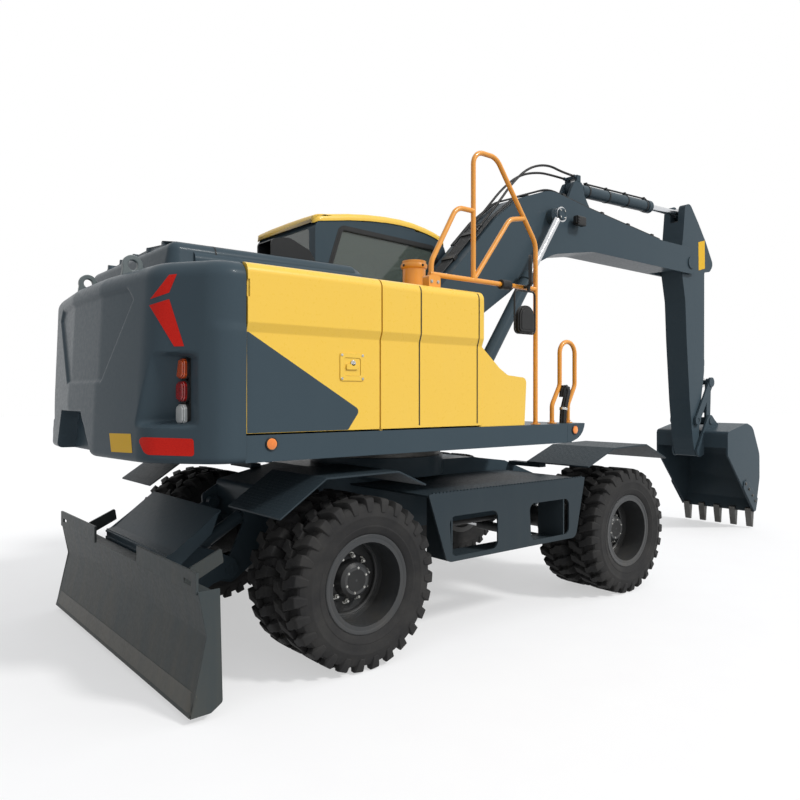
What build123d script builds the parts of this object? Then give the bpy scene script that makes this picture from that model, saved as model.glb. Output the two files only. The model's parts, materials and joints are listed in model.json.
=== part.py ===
from build123d import *
import os
from math import atan2
from math import cos
from math import degrees
from math import hypot
from math import pi
from math import radians
from math import sin

# A wheeled excavator, in millimetres.
# Everything is drawn with x = 0 at the rear axle, +X forward, +Y left and z = 0 on the ground.
# At the end each piece is moved by SHIFT_X, so that the middle of the machine's length is at x = 0.

# Clearances
RUN_GAP = 0.5
SEAT_GAP = 0.3
PIVOT_GAP = 2.5
MOVE_GAP = 6.0

# Wheels and axles
WHEELBASE = 2650.0
TYRE_RADIUS = 508.0
TYRE_WIDTH = 258.0
TWIN_PITCH = 310.0
OUTER_TYRE_Y = 1118.0
BEAD_RADIUS = 256.0
BEAD_HALF = 93.0
RIM_LIP = 14.0
RIM_FLANGE_RADIUS = 292.0
RIM_BARREL_WALL = 12.0
RIM_DISC_THICK = 24.0
HUB_RADIUS = 150.0
HUB_FACE_Y = 885.0
HUB_CAP_RADIUS = 104.0
HUB_CAP_REACH = 150.0
AXLE_Z = TYRE_RADIUS
INNER_TYRE_Y = OUTER_TYRE_Y - TWIN_PITCH
DISC_Y = (OUTER_TYRE_Y + INNER_TYRE_Y) / 2
AXLE_TUBE_RADIUS = 95.0
DIFFERENTIAL_RADIUS = 190.0

# Steering
KINGPIN_Y = 750.0
KINGPIN_RADIUS = 30.0
YOKE_PLATE = 36.0
KNUCKLE_HALF = 108.0
STEER_ROD_X = WHEELBASE - 220.0
STEER_EYE_Y = 590.0
STEER_ROD_RADIUS = 20.0

# Chassis
CHASSIS_HALF = 330.0
CHASSIS_REAR = -222.0
CHASSIS_TOP = 1100.0
SLEW_X = 1000.0
SLEW_RADIUS = 500.0
PEDESTAL_TOP = 1150.0
RING_TOP = 1214.0
MACHINE_HALF = 1245.0

# Blade
BLADE_PIVOT = (-450.0, 500.0)
BLADE_CYL_BASE = (-280.0, 850.0)
BLADE_CYL_PIN = (-800.0, 550.0)
BLADE_CYL_Y = 262.0
BLADE_CYL_RADIUS = 42.0
BLADE_EYE_HALF = 26.0
BLADE_ROD_RADIUS = 24.0

# Upper frame and body
FRAME_BOTTOM = 1258.0
FRAME_TOP = 1400.0
BODY_HALF = 1220.0
PANEL_BOTTOM = 1410.0
PANEL_TOP = 2300.0
PANEL_WALL = 30.0
COUNTERWEIGHT_X = -780.0
DOOR_FRONT_X = 100.0
HOOD_TOP = 2440.0

# Cab
CAB_RIGHT = 250.0
CAB_LEFT = 1210.0
CAB_REAR = 580.0
CAB_WALL = 45.0
CAB_FLOOR = 1450.0
CAB_ROOF = 3060.0
GLASS = 6.0

# Working arm: pivots in x and z, and half widths about the plane of the boom
BOOM_Y = -100.0
BOOM_HALF = 170.0
FORK_PLATE = 28.0
BOOM_FOOT = (1110.0, 1950.0)
BOOM_CYL_FOOT = (1600.0, 1500.0)
BOOM_CYL_PIN = (2850.0, 3285.0)
BOOM_CYL_DY = 265.0
BOOM_CYL_RADIUS = 58.0
BOOM_ROD_RADIUS = 36.0
ARM_PIVOT = (5390.0, 3160.0)
ARM_CYL_BASE = (3400.0, 3685.0)
ARM_CYL_PIN = (5440.0, 3760.0)
ARM_CYL_RADIUS = 62.0
ARM_ROD_RADIUS = 36.0
ARM_HALF = 130.0
BUCKET_CYL_BASE = (5900.0, 3212.0)
BUCKET_CYL_RADIUS = 52.0
BUCKET_ROD_RADIUS = 30.0
ROD_EYE_HALF = 48.0
LEVER_PIN = (5575.0, 1325.0)
LEVER_TOP = (5895.0, 1778.0)
LINK_PIN = (5875.0, 1310.0)
BUCKET_PIN = (5615.0, 968.0)
BUCKET_HALF = 453.0
LEVER_PLATE = 22.0
EAR_PLATE = 25.0

# Overall ends, from which the middle of the length follows
REAR_END = -1250.0
BUCKET_BACK_X = 6512.0
SHIFT_X = -(REAR_END + BUCKET_BACK_X) / 2

NODES = {}


def keep(name, *solids):
    """Store solids under a node name; solids of one node that don't touch stay apart."""
    NODES[name] = list(solids)


def outline(points, closed=True):
    """A closed wire through rows of (u, v, corner radius)."""
    flat = [(row[0], row[1]) for row in points]
    radii = [row[2] if len(row) > 2 else 0 for row in points]
    return FilletPolyline(*flat, radius=radii, close=True)


def side_plate(points, y_low, y_high):
    """A plate cut to rows of (x, z, corner radius), between two values of y."""
    face = make_face(outline(points))
    return extrude(Plane.XZ.offset(-y_high) * face, y_high - y_low)


def plan_plate(points, z_low, z_high):
    """A plate cut to rows of (x, y, corner radius), between two values of z."""
    face = make_face(outline(points))
    return extrude(Plane.XY.offset(z_low) * face, z_high - z_low)


def front_plate(points, x_low, x_high):
    """A plate cut to rows of (y, z, corner radius), between two values of x."""
    face = make_face(outline(points))
    return extrude(Plane.YZ.offset(x_low) * face, x_high - x_low)


def box(x_low, x_high, y_low, y_high, z_low, z_high):
    """A block between two corners."""
    size = (x_high - x_low, y_high - y_low, z_high - z_low)
    middle = ((x_low + x_high) / 2, (y_low + y_high) / 2, (z_low + z_high) / 2)
    return Pos(*middle) * Box(*size)


def rod(start, end, radius):
    """A round bar between two points."""
    direction = Vector(*end) - Vector(*start)
    plane = Plane(origin=start, z_dir=direction)
    low = (Align.CENTER, Align.CENTER, Align.MIN)
    return plane * Cylinder(radius, direction.length, align=low)


def bar_y(x, z, radius, y_low, y_high):
    """A round bar along y."""
    return rod((x, y_low, z), (x, y_high, z), radius)


def eye(centre, radius, y_low, y_high, bore=0.0):
    """A round eye along y about an (x, z) centre, with an optional bore."""
    ring = bar_y(centre[0], centre[1], radius, y_low, y_high)
    if bore > 0:
        ring = ring - bar_y(centre[0], centre[1], bore, y_low - 1, y_high + 1)
    return ring


def along(start, end, distance):
    """The (x, z) point at a distance from start towards end."""
    length = hypot(end[0] - start[0], end[1] - start[1])
    share = distance / length
    return (start[0] + (end[0] - start[0]) * share, start[1] + (end[1] - start[1]) * share)


def span(start, end):
    """The distance between two (x, z) points."""
    return hypot(end[0] - start[0], end[1] - start[1])


def at_y(point, y):
    """An (x, z) point as (x, y, z)."""
    return (point[0], y, point[1])


def both_sides(solid):
    """A solid and its mirror image across the machine's middle plane."""
    return [solid, mirror(solid, Plane.XZ)]


def cylinder_barrel(base, end, y, radius, closed_length, half_eye, eye_radius):
    """A hydraulic barrel from its base eye to its gland, in the plane of y."""
    start = along(base, end, eye_radius * 1.5)
    gland = along(base, end, closed_length)
    gland_start = along(base, end, closed_length - 70)
    body = rod(at_y(start, y), at_y(gland, y), radius)
    body += rod(at_y(base, y), at_y(start, y), half_eye - 2)
    body += rod(at_y(gland_start, y), at_y(gland, y), radius + 8)
    body += eye(base, eye_radius, y - half_eye, y + half_eye)
    bore_start = along(base, end, eye_radius * 2)
    return body, bore_start


def cylinder_set(
        base, end, y, radius, rod_radius, closed_length, half_eye, eye_radius, pin_radius, tuck=0.0):
    """Barrel and rod of a hydraulic cylinder between two (x, z) pins, as two separate solids.

    The barrel turns on a pin through its base eye. The rod's eye holds its own pin, flush with
    its sides, between the plates that carry it. The tuck shortens the rod inside the barrel.
    """
    barrel, bore_start = cylinder_barrel(base, end, y, radius, closed_length, half_eye, eye_radius)
    bore_end = along(base, end, closed_length + 1)
    barrel -= rod(at_y(bore_start, y), at_y(bore_end, y), rod_radius + RUN_GAP)
    reach = max(half_eye, rod_radius) + 1
    barrel -= bar_y(base[0], base[1], pin_radius + RUN_GAP, y - reach, y + reach)
    piston_start = along(base, end, span(base, end) - closed_length + eye_radius + tuck)
    rod_solid = rod(at_y(piston_start, y), at_y(end, y), rod_radius)
    rod_solid += eye(end, eye_radius, y - half_eye, y + half_eye)
    return barrel, rod_solid


# Wheels


LUG_COUNT = 23
LUG_PITCH = 2 * pi / LUG_COUNT
LUG_TIP_HALF = LUG_PITCH * 0.27
LUG_ROOT_HALF = LUG_PITCH * 0.34
LUG_DEPTH = 34.0
TREAD_HALF = TYRE_WIDTH * 0.44
SHOULDER_RADIUS = TYRE_RADIUS - LUG_DEPTH - 12
SIDE_RADIUS = TYRE_RADIUS - 106
BEAD_TOE_RADIUS = RIM_FLANGE_RADIUS + 4


def lug_rows():
    """Corners (u, v) round the tread: each lug has a foot, two tip corners and a foot."""
    tip = TYRE_RADIUS / cos(LUG_TIP_HALF)
    root = TYRE_RADIUS - LUG_DEPTH
    # radius, angle from the lug's middle
    corners = [
        (root, -LUG_ROOT_HALF),
        (tip, -LUG_TIP_HALF),
        (tip, LUG_TIP_HALF),
        (root, LUG_ROOT_HALF),
    ]
    rows = []
    for index in range(LUG_COUNT):
        middle = index * LUG_PITCH - pi / 2
        for radius, angle in corners:
            rows.append((radius * cos(middle + angle), radius * sin(middle + angle)))
    return rows


def tyre_section(flat_radius, y):
    """A many-sided section across the tyre's axis, with one side to each lug."""
    corner = flat_radius / cos(pi / LUG_COUNT)
    return Plane.XZ.offset(-y) * RegularPolygon(corner, LUG_COUNT)


def tyre_band(radius_low, y_low, radius_high, y_high):
    """The solid between two sections of the tyre."""
    return loft([tyre_section(radius_low, y_low), tyre_section(radius_high, y_high)], ruled=True)


def turned(rows):
    """A solid turned about the Y axis from (radius, y) rows."""
    face = make_face(Polyline(*[(row[0], row[1]) for row in rows], close=True))
    return revolve(face, Axis.Y)


def tyre_at(y_middle):
    """One tyre about the wheel's own axis: a lugged tread with bulging side walls."""
    tread = make_face(Polyline(*lug_rows(), close=True))
    tyre = extrude(Plane.XZ.offset(-y_middle - TREAD_HALF) * tread, 2 * TREAD_HALF)
    for side in (-1, 1):
        y_tread = y_middle + side * TREAD_HALF
        y_side = y_middle + side * TYRE_WIDTH / 2
        y_bead = y_middle + side * BEAD_HALF
        tyre += tyre_band(SHOULDER_RADIUS, y_tread, SIDE_RADIUS, y_side)
        tyre -= tyre_band(SIDE_RADIUS, y_side, BEAD_TOE_RADIUS, y_bead)
        tyre -= tyre_band(BEAD_RADIUS, y_bead + side, BEAD_RADIUS, y_middle)
    return tyre


def rim_shell(y_middle):
    """One rim barrel with its two flanges, about the wheel's own axis."""
    inner = BEAD_RADIUS - SEAT_GAP - RIM_BARREL_WALL
    outer = BEAD_RADIUS - SEAT_GAP
    seat = BEAD_HALF + SEAT_GAP
    end = BEAD_HALF + RIM_LIP
    rows = [
        (inner, y_middle - end),
        (RIM_FLANGE_RADIUS, y_middle - end),
        (RIM_FLANGE_RADIUS, y_middle - seat),
        (outer, y_middle - seat),
        (outer, y_middle + seat),
        (RIM_FLANGE_RADIUS, y_middle + seat),
        (RIM_FLANGE_RADIUS, y_middle + end),
        (inner, y_middle + end),
    ]
    return turned(rows)


def wheel_rims():
    """Both rims of a twin wheel, joined by their discs and the hub that carries them."""
    inner_edge = BEAD_RADIUS - SEAT_GAP - RIM_BARREL_WALL / 2
    half = BEAD_HALF + RIM_LIP
    disc = turned([
        (0, DISC_Y - RIM_DISC_THICK),
        (inner_edge, DISC_Y - RIM_DISC_THICK),
        (inner_edge, DISC_Y + RIM_DISC_THICK),
        (0, DISC_Y + RIM_DISC_THICK),
    ])
    bridge_wall = turned([
        (inner_edge - 6, INNER_TYRE_Y + half - 4),
        (inner_edge + 6, INNER_TYRE_Y + half - 4),
        (inner_edge + 6, OUTER_TYRE_Y - half + 4),
        (inner_edge - 6, OUTER_TYRE_Y - half + 4),
    ])
    hub = turned([
        (0, HUB_FACE_Y),
        (HUB_RADIUS, HUB_FACE_Y),
        (HUB_RADIUS, DISC_Y + 60),
        (HUB_CAP_RADIUS + 12, DISC_Y + 75),
        (HUB_CAP_RADIUS, DISC_Y + HUB_CAP_REACH - 16),
        (HUB_CAP_RADIUS - 20, DISC_Y + HUB_CAP_REACH),
        (0, DISC_Y + HUB_CAP_REACH),
    ])
    return rim_shell(OUTER_TYRE_Y) + rim_shell(INNER_TYRE_Y) + bridge_wall + disc + hub


LEFT_TYRES = [tyre_at(OUTER_TYRE_Y), tyre_at(INNER_TYRE_Y)]
LEFT_RIMS = wheel_rims()
# name, x of the axle, mirrored to the right side
WHEELS = [
    ("front_left", WHEELBASE, False),
    ("front_right", WHEELBASE, True),
    ("rear_left", 0.0, False),
    ("rear_right", 0.0, True),
]
for name, x, right in WHEELS:
    place = Pos(x, 0, AXLE_Z)
    tyres = [place * tyre for tyre in LEFT_TYRES]
    rims = place * LEFT_RIMS
    if right:
        tyres = [mirror(tyre, Plane.XZ) for tyre in tyres]
        rims = mirror(rims, Plane.XZ)
    keep("tyres_" + name, *tyres)
    keep("rims_" + name, rims)

# Rear axle, bolted under the chassis


def axle_beam(x, reach):
    """Differential with its two tubes, along y."""
    beam = bar_y(x, AXLE_Z, AXLE_TUBE_RADIUS, -reach, reach)
    middle = turned([
        (0, -150),
        (DIFFERENTIAL_RADIUS - 70, -150),
        (DIFFERENTIAL_RADIUS, -60),
        (DIFFERENTIAL_RADIUS, 60),
        (DIFFERENTIAL_RADIUS - 70, 150),
        (0, 150),
    ])
    return beam + Pos(x, 0, AXLE_Z) * middle


REAR_PAD_Y = 262.0
AXLE_END = HUB_FACE_Y - RUN_GAP
CHASSIS_LOW_REAR = 706.0
rear_axle = axle_beam(0, AXLE_END - 120)
for side in (-1, 1):
    low = side * (AXLE_END - 200)
    high = side * AXLE_END
    rear_axle += bar_y(0, AXLE_Z, HUB_RADIUS - 10, min(low, high), max(low, high))
    pad = box(
        -110, 110, side * REAR_PAD_Y - 40, side * REAR_PAD_Y + 40, AXLE_Z, CHASSIS_LOW_REAR - SEAT_GAP)
    rear_axle += pad
keep("rear_axle", rear_axle)

# Front axle with its yokes, hung on a pin along x

YOKE_HALF_X = 70.0
YOKE_ROOT_Y = KINGPIN_Y - 160
yoke_top = KNUCKLE_HALF + 2 + YOKE_PLATE
CHASSIS_LOW_FRONT = 720.0
front_axle = axle_beam(WHEELBASE, YOKE_ROOT_Y + 10)
for side in (-1, 1):
    y_root = side * YOKE_ROOT_Y
    y_web = side * (YOKE_ROOT_Y + 40)
    y_tip = side * (KINGPIN_Y + 45)
    for z_side in (-1, 1):
        z_low = AXLE_Z + z_side * (KNUCKLE_HALF + 2)
        z_high = AXLE_Z + z_side * yoke_top
        plate = box(
            WHEELBASE - YOKE_HALF_X, WHEELBASE + YOKE_HALF_X,
            min(y_root, y_tip), max(y_root, y_tip), min(z_low, z_high), max(z_low, z_high))
        front_axle += plate
    front_axle += box(
        WHEELBASE - YOKE_HALF_X, WHEELBASE + YOKE_HALF_X,
        min(y_root, y_web), max(y_root, y_web), AXLE_Z - yoke_top, AXLE_Z + yoke_top)
    y_pin = side * KINGPIN_Y
    front_axle -= rod(
        (WHEELBASE, y_pin, AXLE_Z - yoke_top - 1), (WHEELBASE, y_pin, AXLE_Z + yoke_top + 1),
        KINGPIN_RADIUS + RUN_GAP)
AXLE_PIVOT_Z = AXLE_Z + 120
AXLE_PIVOT_RADIUS = 36.0
HANGER_NEAR = DIFFERENTIAL_RADIUS + 12
HANGER_FAR = HANGER_NEAR + 40
front_axle += rod(
    (WHEELBASE - HANGER_FAR, 0, AXLE_PIVOT_Z), (WHEELBASE + HANGER_FAR, 0, AXLE_PIVOT_Z),
    AXLE_PIVOT_RADIUS)
STEER_Z = AXLE_Z - 125.0
STEER_BARREL_RADIUS = 42.0
STEER_BARREL_HALF = 250.0
front_axle += bar_y(STEER_ROD_X, STEER_Z, STEER_BARREL_RADIUS, -STEER_BARREL_HALF, STEER_BARREL_HALF)
for side in (-1, 1):
    y_low = side * 215 - 12
    front_axle += side_plate([
        (STEER_ROD_X - 30, STEER_Z - 30, 12),
        (STEER_ROD_X + 30, STEER_Z - 40, 12),
        (WHEELBASE + 20, AXLE_Z - 60, 12),
        (WHEELBASE + 20, AXLE_Z + 40, 12),
        (STEER_ROD_X + 60, STEER_Z + 110, 12),
        (STEER_ROD_X - 30, STEER_Z + 40, 12),
    ], y_low, y_low + 24)
front_axle -= bar_y(
    STEER_ROD_X, STEER_Z, STEER_ROD_RADIUS + RUN_GAP, -STEER_BARREL_HALF - 1, STEER_BARREL_HALF + 1)
keep("front_axle", front_axle)

# Steering knuckles and the steering rod

ARM_EYE_TOP = STEER_Z - 34.0
ARM_EYE_LOW = ARM_EYE_TOP - 26.0
for name, side in (("knuckle_left", 1), ("knuckle_right", -1)):
    y_pin = side * KINGPIN_Y
    knuckle = rod(
        (WHEELBASE, y_pin, AXLE_Z - KNUCKLE_HALF), (WHEELBASE, y_pin, AXLE_Z + KNUCKLE_HALF), 60)
    knuckle += rod(
        (WHEELBASE, y_pin, ARM_EYE_LOW), (WHEELBASE, y_pin, AXLE_Z + yoke_top + 14), KINGPIN_RADIUS)
    knuckle += bar_y(
        WHEELBASE, AXLE_Z, 100, min(y_pin, side * AXLE_END), max(y_pin, side * AXLE_END))
    y_flange = side * (AXLE_END - 30)
    y_end = side * AXLE_END
    knuckle += bar_y(WHEELBASE, AXLE_Z, HUB_RADIUS - 12, min(y_flange, y_end), max(y_flange, y_end))
    y_eye = side * STEER_EYE_Y
    arm_plate = plan_plate([
        (WHEELBASE + 52, y_pin + side * 30, 12),
        (WHEELBASE + 52, y_pin - side * 40, 12),
        (STEER_ROD_X + 20, y_eye - side * 30, 12),
        (STEER_ROD_X - 34, y_eye - side * 10, 12),
        (STEER_ROD_X - 20, y_eye + side * 40, 12),
        (WHEELBASE - 30, y_pin + side * 42, 12),
    ], ARM_EYE_LOW, ARM_EYE_TOP - 2)
    knuckle += arm_plate
    knuckle += rod((STEER_ROD_X, y_eye, ARM_EYE_LOW), (STEER_ROD_X, y_eye, ARM_EYE_TOP), 28)
    keep(name, knuckle)

steering_rod = bar_y(STEER_ROD_X, STEER_Z, STEER_ROD_RADIUS, -STEER_EYE_Y, STEER_EYE_Y)
for side in (-1, 1):
    y_eye = side * STEER_EYE_Y
    steering_rod += rod(
        (STEER_ROD_X, y_eye, ARM_EYE_TOP + RUN_GAP), (STEER_ROD_X, y_eye, STEER_Z + 30), 28)
keep("steering_rod", steering_rod)

# Chassis frame

BLADE_EAR = 20.0
BLADE_EAR_INNER = CHASSIS_HALF - BLADE_EAR
BLADE_ARM_INNER = CHASSIS_HALF + MOVE_GAP
BLADE_ARM_OUTER = BLADE_ARM_INNER + 24
BLADE_PIN_RADIUS = 30.0
BLADE_CYL_PIN_RADIUS = 22.0
chassis = side_plate([
    (CHASSIS_REAR, 760, 20),
    (CHASSIS_REAR, 1000, 40),
    (250, CHASSIS_TOP, 40),
    (1750, CHASSIS_TOP, 60),
    (2150, 1050, 60),
    (2870, 790, 30),
    (2870, CHASSIS_LOW_FRONT, 20),
    (2320, CHASSIS_LOW_FRONT, 60),
    (2120, 590, 60),
    (480, 590, 60),
    (250, CHASSIS_LOW_REAR, 60),
    (-180, CHASSIS_LOW_REAR, 20),
], -CHASSIS_HALF, CHASSIS_HALF)
pedestal = rod((SLEW_X, 0, CHASSIS_TOP - 100), (SLEW_X, 0, PEDESTAL_TOP), SLEW_RADIUS + 30)
chassis += pedestal
for side in (-1, 1):
    y_low = min(side * BLADE_EAR_INNER, side * CHASSIS_HALF)
    chassis += side_plate([
        (-200, 980, 20),
        (-340, 900, 40),
        (-330, 800, 40),
        (-430, 590, 30),
        (-540, 540, 40),
        (-530, 440, 60),
        (-420, 410, 50),
        (-200, 560, 40),
        (0, 700, 20),
        (0, 980, 20),
    ], y_low, y_low + BLADE_EAR)
    start = side * BLADE_EAR_INNER
    end = side * (BLADE_CYL_Y - BLADE_EYE_HALF)
    chassis += bar_y(*BLADE_CYL_BASE, BLADE_CYL_PIN_RADIUS, min(start, end), max(start, end))
    end = side * BLADE_ARM_OUTER
    chassis += bar_y(*BLADE_PIVOT, BLADE_PIN_RADIUS, min(start, end), max(start, end))
HANGERS = [
    (WHEELBASE - HANGER_FAR, WHEELBASE - HANGER_NEAR),
    (WHEELBASE + HANGER_NEAR, WHEELBASE + HANGER_FAR),
]
for x_low, x_high in HANGERS:
    hanger = box(x_low, x_high, -80, 80, AXLE_PIVOT_Z - 64, CHASSIS_LOW_FRONT + 10)
    hanger -= rod(
        (x_low - 1, 0, AXLE_PIVOT_Z), (x_high + 1, 0, AXLE_PIVOT_Z), AXLE_PIVOT_RADIUS + RUN_GAP)
    chassis += hanger
TIE_EYE_X = 2915.0
TIE_EYE_Y = 250.0
TIE_EYE_Z = 735.0
TIE_EYE_BORE = 25.0
TIE_PLATE = 26.0
for side in (-1, 1):
    y_eye = side * TIE_EYE_Y
    z_low = TIE_EYE_Z - TIE_PLATE / 2
    lug = plan_plate([
        (2840, y_eye - 60, 0),
        (2960, y_eye - 45, 40),
        (2960, y_eye + 45, 40),
        (2840, y_eye + 60, 0),
    ], z_low, z_low + TIE_PLATE)
    lug -= rod((TIE_EYE_X, y_eye, z_low - 1), (TIE_EYE_X, y_eye, z_low + TIE_PLATE + 1), TIE_EYE_BORE)
    chassis += lug
keep("chassis_frame", chassis)

ring = rod((SLEW_X, 0, PEDESTAL_TOP), (SLEW_X, 0, RING_TOP), SLEW_RADIUS)
ring -= rod((SLEW_X, 0, PEDESTAL_TOP - 1), (SLEW_X, 0, RING_TOP + 1), SLEW_RADIUS - 90)
keep("slew_ring", ring)

GEARBOX_X = 1250.0
shafts = box(GEARBOX_X - 170, GEARBOX_X + 170, -150, 150, 400, 590)
shafts += rod((DIFFERENTIAL_RADIUS, 0, AXLE_Z), (GEARBOX_X, 0, AXLE_Z), 38)
shafts += rod((GEARBOX_X, 0, AXLE_Z), (WHEELBASE - DIFFERENTIAL_RADIUS, 0, AXLE_Z), 38)
keep("drive_shafts", shafts)

# Mudguards: bent plates on brackets from the chassis

GUARD_PLATE = 10.0
GUARD_INNER = 640.0


def bent_plate(rows, thick, y_low, y_high):
    """A plate bent along y through rows of (x, z), with its thickness below the line."""
    lower = [(x, z - thick) for x, z in reversed(rows)]
    points = [(x, z, 0) for x, z in rows + lower]
    return side_plate(points, y_low, y_high)


REAR_GUARD = [(-595, 957), (-300, 1152), (214, 1157), (429, 1062)]
FRONT_GUARD = [(2080, 1068), (2418, 1196), (2880, 1206), (3180, 1080)]
GUARD_OUTER = MACHINE_HALF + 5


def line_height(rows, x):
    """The z of a bend line at x."""
    for (x_start, z_start), (x_end, z_end) in zip(rows, rows[1:]):
        if x_start <= x <= x_end:
            return z_start + (z_end - z_start) * (x - x_start) / (x_end - x_start)
    return rows[-1][1]


# name, bend line, x of the bracket, z of its arm
GUARDS = [
    ("mudguards_rear", REAR_GUARD, 60, 1060),
    ("mudguards_front", FRONT_GUARD, 2200, 1010),
]
BRACKET_WIDE = 80.0
BRACKET_THICK = 34.0
for name, line, bracket_x, arm_z in GUARDS:
    guard = bent_plate(line, GUARD_PLATE, GUARD_INNER, GUARD_OUTER)
    bracket_end = bracket_x + BRACKET_WIDE
    bracket = side_plate([
        (bracket_x, arm_z),
        (bracket_x, line_height(line, bracket_x) - GUARD_PLATE / 2),
        (bracket_end, line_height(line, bracket_end) - GUARD_PLATE / 2),
        (bracket_end, arm_z),
    ], GUARD_INNER, GUARD_INNER + BRACKET_THICK)
    bracket += box(
        bracket_x, bracket_end, CHASSIS_HALF + SEAT_GAP, GUARD_INNER + BRACKET_THICK,
        arm_z, arm_z + BRACKET_THICK)
    keep(name, *both_sides(guard + bracket))

# Side steps

STEP_Y = 1200.0
STEP_PLATE = 12.0
STEP_TOP = 984.0
STEP_LOW = 532.0
step = side_plate([
    (495, STEP_TOP, 10),
    (2104, STEP_TOP, 10),
    (1993, STEP_LOW, 60),
    (656, STEP_LOW, 60),
], STEP_Y - STEP_PLATE, STEP_Y)
# x of the slot's ends, bottom and top
SLOTS = [
    (675, 1130, 565, 826),
    (1457, 1909, 570, 836),
]
for x_low, x_high, z_low, z_high in SLOTS:
    slot = side_plate([
        (x_low + 20, z_low, 50),
        (x_high, z_low, 50),
        (x_high, z_high, 50),
        (x_low, z_high, 50),
    ], STEP_Y - STEP_PLATE - 1, STEP_Y + 1)
    step -= slot
step += box(510, 2090, CHASSIS_HALF + SEAT_GAP, STEP_Y, STEP_TOP - 22, STEP_TOP - 10)
step += box(690, 1850, 960, STEP_Y, STEP_LOW, STEP_LOW + 12)
for x_low in (690, 1838):
    step += box(x_low, x_low + 12, 960, STEP_Y, STEP_LOW, STEP_TOP - 12)
keep("side_steps", *both_sides(step))

# Blade

blade = side_plate([
    (-1092, 38, 0),
    (-1063, 143, 0),
    (-1000, 417, 40),
    (-1046, 642, 0),
    (-960, 642, 20),
    (-938, 560, 20),
    (-938, 190, 40),
    (-1010, 90, 20),
    (-1072, 36, 0),
], -MACHINE_HALF + 8, MACHINE_HALF - 8)
for side in (-1, 1):
    y_low = min(side * MACHINE_HALF, side * (MACHINE_HALF - 10))
    blade += side_plate([
        (-1088, 35, 0),
        (-1003, 419, 40),
        (-1047, 646, 0),
        (-932, 646, 0),
        (-918, 77, 20),
        (-980, 37, 20),
    ], y_low, y_low + 10)
    tab_low = min(side * 400, side * (MACHINE_HALF - 10))
    tab_high = max(side * 400, side * (MACHINE_HALF - 10))
    tab = box(-1054, -1040, tab_low, tab_high, 630, 738)
    slot_y = side * 1130
    tab -= box(-1060, -1030, slot_y - 45, slot_y + 45, 665, 690)
    blade += tab
    gusset_y = side * 900
    blade += side_plate([
        (-945, 686, 0),
        (-764, 769, 10),
        (-752, 690, 10),
        (-938, 600, 0),
        (-960, 600, 0),
    ], gusset_y - 8, gusset_y + 8)
keep("blade", blade)

COVER_HALF = 550.0
frame_arm = side_plate([
    (-400, 470, 40),
    (-400, 560, 40),
    (-560, 640, 60),
    (-700, 690, 60),
    (-937.5, 640, 0),
    (-937.5, 240, 0),
    (-860, 260, 40),
    (-560, 430, 60),
], BLADE_ARM_INNER, BLADE_ARM_OUTER)
frame_arm += bar_y(*BLADE_PIVOT, 62, BLADE_ARM_INNER, BLADE_ARM_OUTER)
frame_arm -= bar_y(*BLADE_PIVOT, BLADE_PIN_RADIUS + RUN_GAP, BLADE_ARM_INNER - 1, BLADE_ARM_OUTER + 1)
frame_arm += bar_y(*BLADE_CYL_PIN, 38, BLADE_CYL_Y + BLADE_EYE_HALF + PIVOT_GAP, BLADE_ARM_OUTER)
blade_frame = frame_arm + mirror(frame_arm, Plane.XZ)
blade_frame += side_plate([
    (-937.5, 640, 0),
    (-937.5, 300, 0),
    (-880, 300, 20),
    (-880, 640, 20),
], -COVER_HALF, COVER_HALF)
cover = bent_plate([(-937, 680), (-880, 705), (-600, 920)], 12, -COVER_HALF, COVER_HALF)
cover_end = side_plate([
    (-930, 600, 0),
    (-930, 675, 0),
    (-610, 905, 0),
    (-660, 780, 0),
    (-880, 600, 0),
], COVER_HALF - 12, COVER_HALF)
blade_frame += cover + cover_end + mirror(cover_end, Plane.XZ)
blade_frame += box(-930, -880, -COVER_HALF, COVER_HALF, 630, 690)
keep("blade_frame", blade_frame)

blade_barrels = []
blade_rods = []
for side in (-1, 1):
    barrel, piston = cylinder_set(
        BLADE_CYL_BASE, BLADE_CYL_PIN, side * BLADE_CYL_Y, BLADE_CYL_RADIUS, BLADE_ROD_RADIUS,
        400, BLADE_EYE_HALF, 42, BLADE_CYL_PIN_RADIUS, tuck=60.0)
    blade_barrels.append(barrel)
    blade_rods.append(piston)
keep("blade_cylinder_barrels", *blade_barrels)
keep("blade_cylinder_rods", *blade_rods)

# Upper frame

RECESS_X = 1620.0
RECESS_RIGHT = -470.0
upper = plan_plate([
    (COUNTERWEIGHT_X, -BODY_HALF, 0),
    (1920, -BODY_HALF, 60),
    (2041, -1100, 60),
    (2041, RECESS_RIGHT, 20),
    (RECESS_X, RECESS_RIGHT, 20),
    (RECESS_X, CAB_RIGHT - 5, 20),
    (2100, CAB_RIGHT - 5, 40),
    (2100, BODY_HALF, 80),
    (COUNTERWEIGHT_X, BODY_HALF, 0),
], FRAME_BOTTOM, FRAME_TOP)
upper += rod((SLEW_X, 0, RING_TOP + RUN_GAP), (SLEW_X, 0, FRAME_BOTTOM + 1), SLEW_RADIUS + 20)
BRACKET_INNER = BOOM_HALF + MOVE_GAP
BRACKET_OUTER = BRACKET_INNER + 24
bracket_rows = [
    (560, FRAME_TOP - 20, 0),
    (930, 2000, 60),
    (1010, 2080, 100),
    (1210, 2080, 100),
    (1260, 1900, 60),
    (1500, 1640, 80),
    (1690, 1590, 80),
    (1690, 1430, 60),
    (1600, FRAME_TOP - 20, 0),
]
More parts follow.
